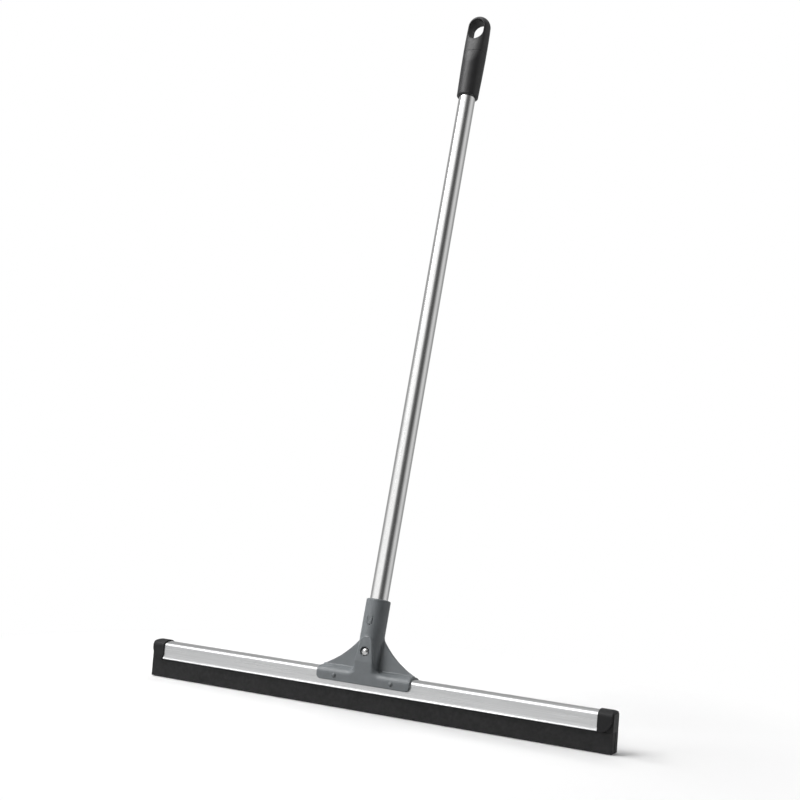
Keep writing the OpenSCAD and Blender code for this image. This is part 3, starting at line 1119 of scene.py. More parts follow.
@dataclass
class EndCaps:
    """Caps that plug and hood the channel's ends.

    Attributes:
        cell: Cell of the surface net.
        plug_inset: How far the plug and the end block lie inside the channel's outline.
        plug_start: Where the plug starts along the head.
        block_start: Where the end block starts.
        block_lift: How far the end block rises above the plug.
        block_foot: Height of the block's underside.
        hood_start: Where the hood starts.
        hood_cover: How far the hood lies outside the channel's outline.
        hood_room: How far its room lies outside that outline.
        hood_foot: Height of the hood's lower edge.
        hood_fillet: Fillet between the hood and the block.
        skirt_half: Half depth between the hood's two skirts.
        setback: Step from the end face back to the hood.
        corner_radius: Radius of the hood's lower outer corner.
        top_radius: Radius of the cap's upper outer corner.
        notch: Length and top of the notch for the channel's lip, and the depth where it stops.
        edge: Edge radius.
        room_edge: Edge radius of the hood's room and notch.
        foot_edge: Edge radius of the block's underside.
        end_edge: Edge radius of the end face.
    """

    cell: float = 0.42
    plug_inset: float = 1.7
    plug_start: float = 317.8
    block_start: float = 336.0
    block_lift: float = 3.5
    block_foot: float = 26.0
    hood_start: float = 329.5
    hood_cover: float = 1.8
    hood_room: float = 0.2
    hood_foot: float = 25.0
    hood_fillet: float = 0.3
    skirt_half: float = 10.5
    setback: float = 1.3
    corner_radius: float = 16.5
    top_radius: float = 6.5
    notch: tuple[float, float, float] = (2.0, 30.7, 12.8)
    edge: float = 0.5
    room_edge: float = 0.2
    foot_edge: float = 0.1
    end_edge: float = 0.9

    def field(self, x: Array, y: Array, z: Array) -> Array:
        """Distance field of the right cap.

        Args:
            x: Points along the head.
            y: Depth of the points.
            z: Height of the points.

        Returns:
            The field.
        """
        end, _, top = box_of("right_end_cap")[1]
        outline = trim(x - end, z - top, self.top_radius)
        plug = trim(CROWN.field(y, z, -self.plug_inset), between(x, self.plug_start, end), self.edge)
        block = trim(CROWN.field(y, z - self.block_lift, -self.plug_inset), outline, self.end_edge)
        block = trim(block, self.block_start - x, self.edge)
        solid = trim(np.minimum(plug, block), self.block_foot - z, self.foot_edge)
        return join(solid, self._hood(x, y, z, end - self.setback, outline), self.hood_fillet)

    def _hood(self, x: Array, y: Array, z: Array, reach: float, outline: Array) -> Array:
        """Field of the hood, with its wide lower corner and the room for the channel.

        Args:
            x: Points along the head.
            y: Depth of the points.
            z: Height of the points.
            reach: Where the hood ends along the head.
            outline: Field of the cap's upper outer corner.

        Returns:
            The field.
        """
        side = np.maximum(trim(x - reach, self.hood_foot - z, self.corner_radius), self.hood_start - x)
        shell = trim(CROWN.field(y, z, self.hood_cover), np.maximum(side, outline), self.edge)
        room = np.maximum(CROWN.field(y, z, self.hood_room), x - self.block_start)
        below = np.maximum(np.abs(y) - self.skirt_half, z - self.block_foot)
        length, height, web = self.notch
        notch = np.maximum(np.maximum(x - self.hood_start - length, z - height), web - np.abs(y))
        for space in (room, below, notch):
            shell = cut(shell, space, self.room_edge)
        return shell

    def build(self) -> None:
        """Mesh the right cap, mirror it for the left, and dress both."""
        right = SurfaceNet(self.cell).mesh("right_cap", self.field, *box_of("right_end_cap"))
        right.materials.append(CAP_FINISH.material())
        left = right.copy()
        left.name = "left_cap"
        left.transform(Matrix.Scale(Side.LEFT.value, 4, (1.0, 0.0, 0.0)))
        left.flip_normals()
        for side, mesh in ((Side.RIGHT, right), (Side.LEFT, left)):
            end = side.name.lower()
            place(mesh, f"{end}_cap", Body.SQUEEGEE, Slot.CAP, [f"{end}_end_cap"])


@dataclass
class Holder:
    """Moulded holder: saddle, socket, front pad, wings and flexing tongue.

    Attributes:
        line: Axis of the handle.
        cell: Cell of the surface net.
        saddle_cover: How far the saddle lies outside the channel's outline.
        saddle_top: Top of the saddle.
        room: How far its room lies outside that outline.
        room_edge: Edge radius of that room.
        skirt_radius: Corner radius of the skirts.
        socket_radius: Outer radius of the socket.
        socket_top: Height of the rim along the handle.
        socket_sink: How far the socket reaches down below the saddle's top.
        socket_edge: Edge radius where the pad cuts the socket.
        socket_fillet: Fillet round the socket's foot, and the depth over which it grows.
        bore_edge: Edge radius of the bore.
        rim: Edge radius of the rim.
        wing_back: Distance of the wings behind the head's middle.
        wing_lean: Lean of the wings to the rear, in degrees.
        wing_pivot: Height that the lean turns about.
        wing_half: Half thickness of a wing.
        wing_root: Height of a wing's root.
        wing_tip: Where a wing ends along the head.
        wing_hollow: Radius of a wing's hollow edge.
        wing_sink: How far a wing reaches into the saddle.
        wing_edge: Edge radius of a wing.
        wing_fillet: Fillet along a wing's foot.
        pad_face: Distance from the axis to the pad at the button.
        pad_tilt: Angle between the pad and the handle, in degrees.
        pad_top: Half width of the pad at its arch.
        pad_foot: Half width of the pad at its foot.
        pad_arch: Height of the arch's centre above the button.
        pad_fall: Length of the pad below the button.
        pad_flare: Radius of the flare into the saddle.
        flare_half: Half width that the flare reaches.
        shoulder: Height and radius of the saddle's shoulder, which the flare's edge takes up.
        edge_rise: Height over which that edge tightens up the pad.
        window: Radius of the button's window.
        window_edge: Edge radius of the window.
        window_ledge: Radius of the hole in the ledge at the window's foot, and the ledge's thickness.
        tongue_tip: Height of the tongue's round centre along the handle.
        tongue_half: Half width of the tongue.
        tongue_length: Straight length of the tongue.
        tongue_slot: Width of the slot round it.
        tongue_proud: Most that the tongue may stand proud.
        tongue_fillet: Fillet round the tongue, which lifts its face by about as much.
        tongue_steps: Stretches of the slot's round end.
        slot_reach: Where the slot's cutter starts and ends ahead of the axis, in socket radii.
        edge: Edge radius of the moulding.
    """

    line: HandleLine
    cell: float = 0.70
    saddle_cover: float = 3.5
    saddle_top: float = 54.5
    room: float = 0.2
    room_edge: float = 0.4
    skirt_radius: float = 6.0
    socket_radius: float = 16.7
    socket_top: float = 150.55
    socket_sink: float = 14.0
    socket_edge: float = 0.6
    socket_fillet: Pair = (1.2, 4.0)
    bore_edge: float = 0.6
    rim: float = 1.7
    wing_back: float = 5.0
    wing_lean: float = 9.0
    wing_pivot: float = 72.0
    wing_half: float = 2.0
    wing_root: float = 95.5
    wing_tip: float = 69.0
    wing_hollow: float = 130.0
    wing_sink: float = 6.0
    wing_edge: float = 0.8
    wing_fillet: float = 2.4
    pad_face: float = 15.5
    pad_tilt: float = 5.0
    pad_top: float = 9.5
    pad_foot: float = 16.5
    pad_arch: float = 10.5
    pad_fall: float = 31.0
    pad_flare: float = 9.0
    flare_half: float = 34.0
    shoulder: Pair = (52.8, 8.5)
    edge_rise: float = 15.0
    window: float = 6.6
    window_edge: float = 0.5
    window_ledge: Pair = (5.8, 1.2)
    tongue_tip: float = 118.35
    tongue_half: float = 3.3
    tongue_length: float = 7.8
    tongue_slot: float = 0.7
    tongue_proud: float = 0.5
    tongue_fillet: float = 0.2
    tongue_steps: int = 24
    slot_reach: Pair = (1.5, 0.5)
    edge: float = 1.1

    def _pad_frame(self, back: Array, along: Array) -> tuple[Array, Array]:
        """Change points to the pad's own frame.

        Args:
            back: Depth of the points behind the handle's axis.
            along: Height of the points along it.

        Returns:
            Depth behind the pad's face, and height along it from the button.
        """
        tilt = math.radians(self.pad_tilt)
        out, up = back + self.pad_face, along - self.line.button
        return out * math.cos(tilt) + up * math.sin(tilt), up * math.cos(tilt) - out * math.sin(tilt)

    def _saddle(self, x: Array, y: Array, z: Array) -> Array:
        """Field of the saddle before its room for the channel is taken out.

        Args:
            x: Points along the head.
            y: Depth of the points.
            z: Height of the points.

        Returns:
            The field.
        """
        (_, _, foot), (half, _, _) = box_of("holder")
        side = trim(np.abs(x) - half, foot - z, self.skirt_radius)
        side = trim(side, z - self.saddle_top, self.skirt_radius * (np.abs(x) > half - self.skirt_radius))
        return trim(CROWN.field(y, z, self.saddle_cover), side, self.edge)

    def _pad(self, x: Array, z: Array, up: Array, front: Array) -> Array:
        """Field of the pad, whose sides spread downwards and flare into the saddle's shoulder.

        Args:
            x: Points along the head.
            z: Height of the points.
            up: Their height along the pad.
            front: Field of the moulding's front.

        Returns:
            The field.
        """
        drop = self.pad_arch + self.pad_fall
        length = math.hypot(self.pad_foot - self.pad_top, drop)
        normal = (drop / length, (self.pad_foot - self.pad_top) / length)
        side = (np.abs(x) - self.pad_top) * normal[0] + (up - self.pad_arch) * normal[1]
        arch = np.hypot(x, up - self.pad_arch) - self.pad_top
        outline = np.where(up > self.pad_arch, arch, side)
        height, radius = self.shoulder
        flared = np.maximum(join(outline, z - height, self.pad_flare), np.abs(x) - self.flare_half)
        rounding = np.clip(1.0 - (z - height) / self.edge_rise, 0.0, 1.0) ** 2
        edge = self.edge + (radius - self.edge) * rounding
        return np.maximum(trim(flared, front, edge), height - radius - z)

    def _wings(self, x: Array, y: Array, z: Array) -> Array:
        """Field of both wings, with hollow upper edges.

        Args:
            x: Points along the head.
            y: Depth of the points.
            z: Height of the points.

        Returns:
            The field.
        """
        root = np.array([self.socket_radius, self.wing_root])
        tip = np.array([self.wing_tip, self.saddle_top])
        chord = float(np.linalg.norm(tip - root))
        outward = np.array([root[1] - tip[1], tip[0] - root[0]]) / chord
        centre = (root + tip) / 2.0 + math.sqrt(self.wing_hollow**2 - (chord / 2.0) ** 2) * outward
        hollow = self.wing_hollow - np.hypot(np.abs(x) - centre[0], z - centre[1])
        ends = np.maximum(np.abs(x) - self.wing_tip, self.saddle_top - self.wing_sink - z)
        lean = math.tan(math.radians(self.wing_lean))
        behind = y - self.wing_back - lean * (z - self.wing_pivot)
        return trim(np.maximum(hollow, ends), np.abs(behind) - self.wing_half, self.wing_edge)

    def _tongue(self, x: Array, along: Array, radial: Array) -> Array:
        """Field of the proud tongue, which reaches to the middle of the slot round it.

        Args:
            x: Points along the head.
            along: Height of the points along the handle.
            radial: Their distance from its axis.

        Returns:
            The field.
        """
        up = along - self.tongue_tip
        straight = np.clip(up, 0.0, self.tongue_length)
        outline = np.hypot(x, up - straight) - self.tongue_half - self.tongue_slot / 2.0
        return np.maximum(outline, radial - self.socket_radius - self.tongue_proud)

    def field(self, x: Array, y: Array, z: Array) -> Array:
        """Distance field of the whole holder, before its tongue is cut free.

        Args:
            x: Points along the head.
            y: Depth of the points.
            z: Height of the points.

        Returns:
            The field.
        """
        back, along = self.line.local(y, z)
        behind, up = self._pad_frame(back, along)
        inset = y + CROWN.half + self.saddle_cover
        front = np.maximum(-behind, -inset)
        radial = np.hypot(x, back)
        barrel = trim(radial - self.socket_radius, along - self.socket_top, self.rim)
        barrel = trim(np.maximum(barrel, self.saddle_top - self.socket_sink - along), front, self.socket_edge)
        pad = np.maximum(self._pad(x, z, up, front), back)
        fillet, depth = self.socket_fillet
        body = join(np.minimum(self._saddle(x, y, z), pad), barrel, fillet * np.clip(inset / depth, 0.0, 1.0))
        body = join(body, self._wings(x, y, z), self.wing_fillet)
        tongue = np.maximum(self._tongue(x, along, radial), np.maximum(back, 0.0))
        body = join(body, tongue, self.tongue_fillet)
        body = cut(body, CROWN.field(y, z, self.room), self.room_edge)
        bore = self.line.bore
        body = cut(body, np.maximum(radial - bore, self.line.foot - along), self.bore_edge)
        hole, ledge = self.window_ledge
        aside = np.hypot(x, along - self.line.button)
        body = cut(body, np.maximum(aside - self.window, back + bore + ledge), self.window_edge)
        return cut(body, np.maximum(aside - hole, back))

    def _slot_cutter(self, sweep: NodeTree) -> Mesh:
        """Cutter for the slot round the tongue, drawn in from the socket's front.

        Args:
            sweep: Tree that draws sections out.

        Returns:
            The cutter, in its place.
        """
        near, far = self.slot_reach
        start, depth = -near * self.socket_radius, (near - far) * self.socket_radius
        top = self.tongue_tip + self.tongue_length
        rows = []
        for radius in (self.tongue_half, self.tongue_half + self.tongue_slot):
            tip = arc((0.0, self.tongue_tip), radius, 180.0, 360.0, self.tongue_steps)
            rows += [(x, start, z) for x, z in [(-radius, top), *tip, (radius, top)]]
        count = len(rows) // 2
        faces = [[i, i + 1, count + i + 1, count + i] for i in range(count - 1)]
        section = new_mesh("slot_cutter", rows, faces)
        cutter = grow(section, sweep, {"Run": (0.0, depth * MM, 0.0), "Finish": HOLDER_FINISH.material()})
        cutter.transform(self.line.matrix())
        return cutter

    def build(self, sweep: NodeTree) -> None:
        """Mesh the holder, cut its tongue free and dress it.

        Args:
            sweep: Tree that draws sections out.
        """
        net = SurfaceNet(self.cell)
        whole = net.mesh("moulded_holder", self.field, *box_of("holder"))
        whole.materials.append(HOLDER_FINISH.material())
        mesh = cut_out(whole, self._slot_cutter(sweep))
        net.shade(mesh, self.field)
        place(mesh, "moulded_holder", Body.SQUEEGEE, Slot.HOLDER, ["holder"])


@dataclass
class Rivets:
    """Two round-headed rivets through the head, on washers at the rear.

    Attributes:
        spacing: Distance between the rivets.
        seat: Depth of the front heads' seat from the middle.
        washer: Outer radius, bore radius and thickness of a washer.
        washer_bevel: Bevel on a washer's outer edge.
        shank: Radius of the shank.
        head: Radius of a head.
        dome: Height of a head.
        dome_steps: Stretches of a head's outline.
        steps: Sides of each turned piece.
        crisp: Angle from which a rivet's edges stay crisp, in degrees.
    """

    spacing: float = 87.0
    seat: float = 15.5
    washer: tuple[float, float, float] = (5.0, 2.15, 1.0)
    washer_bevel: float = 0.2
    shank: float = 2.0
    head: float = 3.3
    dome: float = 1.9
    dome_steps: int = 9
    steps: int = 40
    crisp: float = 50.0

    def _rivet(self) -> Mesh:
        """Turn one rivet about the Z axis.

        Returns:
            The rivet, with its front head up.
        """
        rear = self.seat + self.washer[2]
        head = cap_arc(self.head, self.dome, self.dome_steps)
        front_head = [(radius, self.seat + height) for radius, height in reversed(head)]
        rear_head = [(radius, -rear - height) for radius, height in head]
        shank = [(self.shank, self.seat), (self.shank, -rear)]
        return keep_edges(lathe("rivet_pair", front_head + shank + rear_head, self.steps), self.crisp)

    def _washer(self) -> Mesh:
        """Turn one washer about the Z axis.

        Returns:
            The washer, below the rear seat.
        """
        outer, bore, thick = self.washer
        near, far = -self.seat, -self.seat - thick
        bevel = self.washer_bevel
        section = [(bore, near), (outer, near), (outer, far + bevel), (outer - bevel, far), (bore, far)]
        return lathe("washer_pair", section, self.steps, ring=True)

    def build(self, row: NodeTree) -> None:
        """Make one rivet and one washer, and set each out in a row.

        Args:
            row: Tree that sets fasteners out.
        """
        low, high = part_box("left_rivet")
        first = (-self.spacing / 2.0 * MM, 0.0, (low.z + high.z) / 2.0)
        inputs = {"Count": 2, "First": first, "Pitch": (self.spacing * MM, 0.0, 0.0)}
        fasteners = (
            (self._rivet(), RIVET_FINISH, Slot.RIVET, ["left_rivet", "right_rivet"]),
            (self._washer(), WASHER_FINISH, Slot.WASHER, ["rivet_washers"]),
        )
        for mesh, finish, slot, nodes in fasteners:
            name = mesh.name
            mesh.transform(Matrix.Rotation(math.radians(90.0), 4, "X"))
            pair = grow(mesh, row, {**inputs, "Finish": finish.material()})
            place(pair, name, Body.SQUEEGEE, slot, nodes)


@dataclass
class Handle:
    """Steel tube with its black grip.

    Attributes:
        line: Axis of the handle.
        tube_wall: Wall of the tube.
        tube_top: Height of the tube's upper end along the handle.
        steps: Sides of the tube.
        button_hole: Radius of the button's hole.
        hole_steps: Sides of that hole.
        grip_start: Height of the grip's open end.
        grip_top: Height of its top.
        grip_end: Radius at the open end.
        grip_swell: Largest radius.
        grip_dome: Radius of the round top.
        swell_height: Height of the largest radius.
        grip_edge: Edge radius of the open end.
        bore_edge: Edge radius of the bore.
        groove: Radius of the ring groove.
        groove_lift: How far its centre lies outside the grip.
        groove_edge: Edge radius of the groove.
        ring_height: Height of the ring groove.
        flat_half: Half depth of the flattened grip at the eye.
        flat_start: Height where the flats run out into hollows.
        flat_hollow: Radius of those hollows.
        flat_edge: Edge radius of the flats.
        eye_middle: Height of the eye's middle.
        eye_half: Half width of the eye.
        eye_straight: Half length of the eye's straight sides.
        eye_draft: How far the eye opens out on each side.
        eye_rim: Edge radius of the eye.
        cell: Cell of the surface net.
    """

    line: HandleLine
    tube_wall: float = 1.2
    tube_top: float = 970.55
    steps: int = 128
    button_hole: float = 5.7
    hole_steps: int = 64
    grip_start: float = 907.55
    grip_top: float = 1041.55
    grip_end: float = 16.0
    grip_swell: float = 17.5
    grip_dome: float = 16.9
    swell_height: float = 990.55
    grip_edge: float = 1.8
    bore_edge: float = 0.5
    groove: float = 0.55
    groove_lift: float = 0.15
    groove_edge: float = 0.25
    ring_height: float = 979.5
    flat_half: float = 13.0
    flat_start: float = 1000.75
    flat_hollow: float = 100.0
    flat_edge: float = 5.0
    eye_middle: float = 1017.35
    eye_half: float = 11.7
    eye_straight: float = 4.6
    eye_draft: float = 0.6
    eye_rim: float = 0.8
    cell: float = 0.62

    def build(self, sweep: NodeTree) -> None:
        """Make the tube and the grip.

        Args:
            sweep: Tree that draws sections out.
        """
        self._tube(sweep)
        self._grip()

    def _tube(self, sweep: NodeTree) -> None:
        """Draw a ring out into the tube, and drill it for the button.

        Args:
            sweep: Tree that draws sections out.
        """
        outer, foot = self.line.tube, self.line.foot
        rings = []
        for radius in (outer, outer - self.tube_wall):
            circle = arc((0.0, 0.0), radius, 0.0, 360.0, self.steps)[:-1]
            rings += [(x, y, foot) for x, y in circle]
        count = self.steps
        faces = [[i, (i + 1) % count, count + (i + 1) % count, count + i] for i in range(count)]
        section = new_mesh("bright_tube", rings, faces)
        inputs = {"Run": (0.0, 0.0, (self.tube_top - foot) * MM), "Finish": TUBE_FINISH.material()}
        mesh = keep_edges(cut_out(grow(section, sweep, inputs), self._drill()))
        mesh.transform(self.line.matrix())
        place(mesh, "bright_tube", Body.SQUEEGEE, Slot.TUBE, ["handle_tube"])

    def _drill(self) -> Mesh:
        """Make the round cutter for the button's hole.

        Returns:
            The cutter, in the handle's own frame.
        """
        radius, reach = self.button_hole, 2.0 * self.line.tube
        mesh = lathe("drill", [(0.0, 0.0), (radius, 0.0), (radius, reach), (0.0, reach)], self.hole_steps)
        mesh.transform(self.line.button_matrix())
        return mesh

    def _grip_shell(self, radial: Array, along: Array) -> Array:
        """Field of the grip's round outside, with its swell and its domed top.

        Args:
            radial: Distance of the points from the handle's axis.
            along: Height of the points along it.

        Returns:
            The field.
        """
        lower = (along - self.grip_start) / (self.swell_height - self.grip_start)
        spring = self.grip_top - self.grip_dome
        upper = (along - self.swell_height) / (spring - self.swell_height)
        swelling = np.sin(np.clip(lower, 0.0, 1.0) * math.pi / 2)
        rise = self.grip_end + (self.grip_swell - self.grip_end) * swelling
        fall = self.grip_swell + (self.grip_dome - self.grip_swell) * np.clip(upper, 0.0, 1.0) ** 2
        side = radial - np.where(lower < 1.0, rise, fall)
        dome = np.hypot(radial, along - spring) - self.grip_dome
        return trim(np.where(along > spring, dome, side), self.grip_start - along, self.grip_edge)

    def _grip_field(self, x: Array, back: Array, along: Array) -> Array:
        """Distance field of the grip in the handle's own frame.

        Args:
            x: Points along the head.
            back: Depth of the points behind the handle's axis.
            along: Height of the points along it.

        Returns:
            The field.
        """
        radial, aside = np.hypot(x, back), np.abs(back)
        centre = self.flat_half + self.flat_hollow
        hollow = self.flat_hollow - np.hypot(aside - centre, along - self.flat_start)
        flats = np.where(along > self.flat_start, aside - self.flat_half, hollow)
        grip = trim(self._grip_shell(radial, along), flats, self.flat_edge)
        ring = np.hypot(grip - self.groove_lift, along - self.ring_height) - self.groove
        grip = cut(grip, ring, self.groove_edge)
        bore = np.maximum(radial - self.line.bore, along - self.tube_top - self.line.fit)
        grip = cut(grip, bore, self.bore_edge)
        up = along - self.eye_middle
        opening = self.eye_half + self.eye_draft * aside / self.grip_swell
        eye = np.hypot(x, up - np.clip(up, -self.eye_straight, self.eye_straight)) - opening
        return cut(grip, eye, self.eye_rim)

    def _grip(self) -> None:
        """Mesh the grip in the handle's own frame and set it on the tube."""
        reach = self.grip_swell
        low, high = (-reach, -reach, self.grip_start), (reach, reach, self.grip_top)
        mesh = SurfaceNet(self.cell).mesh("black_grip", self._grip_field, low, high)
        mesh.transform(self.line.matrix())
        mesh.materials.append(GRIP_FINISH.material())
        place(mesh, "black_grip", Body.SQUEEGEE, Slot.GRIP, ["hand_grip"])


@dataclass
class SnapButton:
    """Plated button on its hairpin spring.

    Attributes:
        line: Axis of the handle.
        radius: Radius of the button.
        top: Distance from the axis to the dome's tip.
        dome: Height of the dome.
        dome_steps: Stretches of the dome's outline.
        body_start: Where the body starts, out from the axis.
        tail: Radius of the tail, and where it starts.
        tail_head: Radius and thickness of the tail's head.
        bend: Heights along the handle of the stretch of the spring's front leg that gets rows of points.
        bend_rows: Rows of points in that stretch.
        steps: Sides of the turned piece.
        crisp: Angle from which the button's edges stay crisp, in degrees.
    """

    line: HandleLine
    radius: float = 5.4
    top: float = 17.1
    dome: float = 3.2
    dome_steps: int = 14
    body_start: float = 10.58
    tail: Pair = (1.6, 9.57)
    tail_head: Pair = (3.2, 1.0)
    bend: Pair = (108.0, 86.0)
    bend_rows: int = 11
    steps: int = 72
    crisp: float = 40.0

    def build(self) -> None:
        """Turn the button, dress it, and make its spring."""
        rim = self.top - self.dome
        cap = cap_arc(self.radius, self.dome, self.dome_steps)
        crown = [(radius, rim + height) for radius, height in cap]
        thin, start = self.tail
        wide, thick = self.tail_head
        tail = [(0.0, start - thick), (wide, start - thick), (wide, start), (thin, start)]
        profile = [*tail, (thin, self.body_start), (self.radius, self.body_start), *crown]
        mesh = keep_edges(lathe("snap_dome", profile, self.steps), self.crisp)
        mesh.transform(self.line.matrix() @ self.line.button_matrix())
        mesh.materials.append(BUTTON_FINISH.material())
        place(mesh, "snap_dome", Body.BUTTON, Slot.BUTTON, ["snap_button"])
        self._spring()

    def _spring(self) -> None:
        """Put the spring in as two legs: the rear one rides on the squeegee, and the front one stays loose in
        the scene.
        """
        node = "button_spring"
        rear = self._leg("spring_rear_leg", node, False)
        place(rear, "spring_rear_leg", Body.SQUEEGEE, Slot.SPRING, [node])
        leg = linked("spring_front_leg", self._leg("spring_front_leg", node, True))
        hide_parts(node)
        start, end = (self.line.matrix() @ Vector((0.0, 0.0, level * MM)) for level in self.bend)
        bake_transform(leg)
        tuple(start)
        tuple(end)
        count = len(leg.data.polygons)
        LOG.info("%s: %d faces, bends from squeegee to button, for %s", leg.name, count, node)

    def _leg(self, name: str, node: str, front: bool) -> Mesh:
        """Cut one leg out of the spring's solid, with rows of points across its bend stretch.

        Args:
            name: Name of the leg.
            node: Solid of the spring.
            front: Whether it is the front leg.

        Returns:
            The leg's closed mesh.
        """
        pose = self.line.matrix()
        rearwards = pose.to_3x3() @ Vector((0.0, 1.0, 0.0))
        upwards = pose.to_3x3() @ Vector((0.0, 0.0, 1.0))
        shape = bmesh.new()
        shape.from_mesh(frame["nodes"][node].data)
        bmesh.ops.remove_doubles(shape, verts=shape.verts, dist=SEAM)
        parts = [*shape.verts, *shape.edges, *shape.faces]
        halved = bmesh.ops.bisect_plane(shape, geom=parts, plane_co=pose.translation, plane_no=rearwards,
                                        clear_outer=front, clear_inner=not front)
        rim = [part for part in halved["geom_cut"] if isinstance(part, bmesh.types.BMEdge)]
        bmesh.ops.holes_fill(shape, edges=rim)
        for level in np.linspace(*self.bend, self.bend_rows):
            spot = pose @ Vector((0.0, 0.0, level * MM))
            parts = [*shape.verts, *shape.edges, *shape.faces]
            bmesh.ops.bisect_plane(shape, geom=parts, plane_co=spot, plane_no=upwards)
        mesh = from_shape(name, shape)
        mesh.shade_smooth()
        mesh.materials.append(SPRING_FINISH.material())
        return keep_edges(mesh)


# Studio


def outwards(azimuth: float, elevation: float) -> Vector:
    """Direction from the object to a place round it.

    Args:
        azimuth: Degrees round from the front towards the right end.
        elevation: Degrees above the object.

    Returns:
        The direction, of length one.
    """
    turn, tilt = math.radians(azimuth), math.radians(elevation)
    return Vector((math.sin(turn) * math.cos(tilt), -math.cos(turn) * math.cos(tilt), math.sin(tilt)))


@dataclass(frozen=True)
class PhotoCamera:
    """Camera at the photograph's viewing angle.

    Attributes:
        spot: Place of the lens, in millimetres.
        azimuth: Degrees round from the front towards the right end.
        elevation: Degrees that it looks down.
        roll: Degrees that its right side rises.
        focal: Focal length in pixels of the photograph.
        frame_width: Width of the photograph in pixels.
        sensor: Width of the sensor, in millimetres.
        sight: How far it sees, in metres.
    """

    spot: Point = (850.9, -1614.7, 328.1)
    azimuth: float = 27.324
    elevation: float = -2.915
    roll: float = 4.481
    focal: float = 1340.6
    frame_width: float = 800.0
    sensor: float = 36.0
    sight: float = 60.0

    def build(self) -> None:
        """Make the scene's camera."""
        ahead = -outwards(self.azimuth, self.elevation)
        turn = math.radians(self.azimuth)
        level = Vector((math.cos(turn), math.sin(turn), 0.0))
        upright = level.cross(ahead)
        lift = math.asin(math.sin(math.radians(self.roll)) / upright.z)
        right = level * math.cos(lift) + upright * math.sin(lift)
        up = right.cross(ahead)
        data = bpy.data.cameras.new("photo_camera")
        data.sensor_width = self.sensor
        data.lens = self.sensor * self.focal / self.frame_width
        data.clip_end = self.sight
        camera = bpy.data.objects.new("photo_camera", data)
        pose = Matrix((right, up, -ahead)).transposed().to_4x4()
        pose.translation = Vector(self.spot) * MM
        camera.matrix_world = pose
        bpy.context.scene.collection.objects.link(camera)
        bpy.context.scene.camera = camera


@dataclass(frozen=True)
class Softbox:
    """Soft lamp that faces the object.

    Attributes:
        name: Name of the lamp.
        azimuth: Degrees round from the front towards the right end.
        elevation: Degrees above the object.
        brightness: Radiance of its face, where 1 is white.
        mirrored: Whether reflections show it.
        size: Width and height in metres.
        distance: Metres from the object.
    """

    name: str
    azimuth: float
    elevation: float
    brightness: float
    mirrored: bool = True
    size: Pair = (2.6, 2.6)
    distance: float = 4.5

    def build(self, target: Vector) -> None:
        """Hang the lamp and aim it.

        Args:
            target: Point that it faces.
        """
        out = outwards(self.azimuth, self.elevation)
        data = bpy.data.lights.new(self.name, "AREA")
        data.shape = "RECTANGLE"
        data.size, data.size_y = self.size
        data.energy = self.brightness * math.pi * self.size[0] * self.size[1]
        lamp = bpy.data.objects.new(self.name, data)
        aim = out.to_track_quat("Z", "Y").to_matrix().to_4x4()
        lamp.matrix_world = Matrix.Translation(target + out * self.distance) @ aim
        lamp.visible_camera = False
        lamp.visible_glossy = self.mirrored
        bpy.context.scene.collection.objects.link(lamp)


def bare_material(name: str) -> tuple[Material, NodeSheet, Any]:
    """Start a material that has nothing but its output.

    Args:
        name: Name of the material.

    Returns:
        The material, its sheet, and the output's socket for the surface.
    """
    material = bpy.data.materials.new(name)
    material.use_nodes = True
    nodes = material.node_tree.nodes
    nodes.remove(nodes["Principled BSDF"])
    return material, NodeSheet(material.node_tree), nodes["Material Output"].inputs["Surface"]


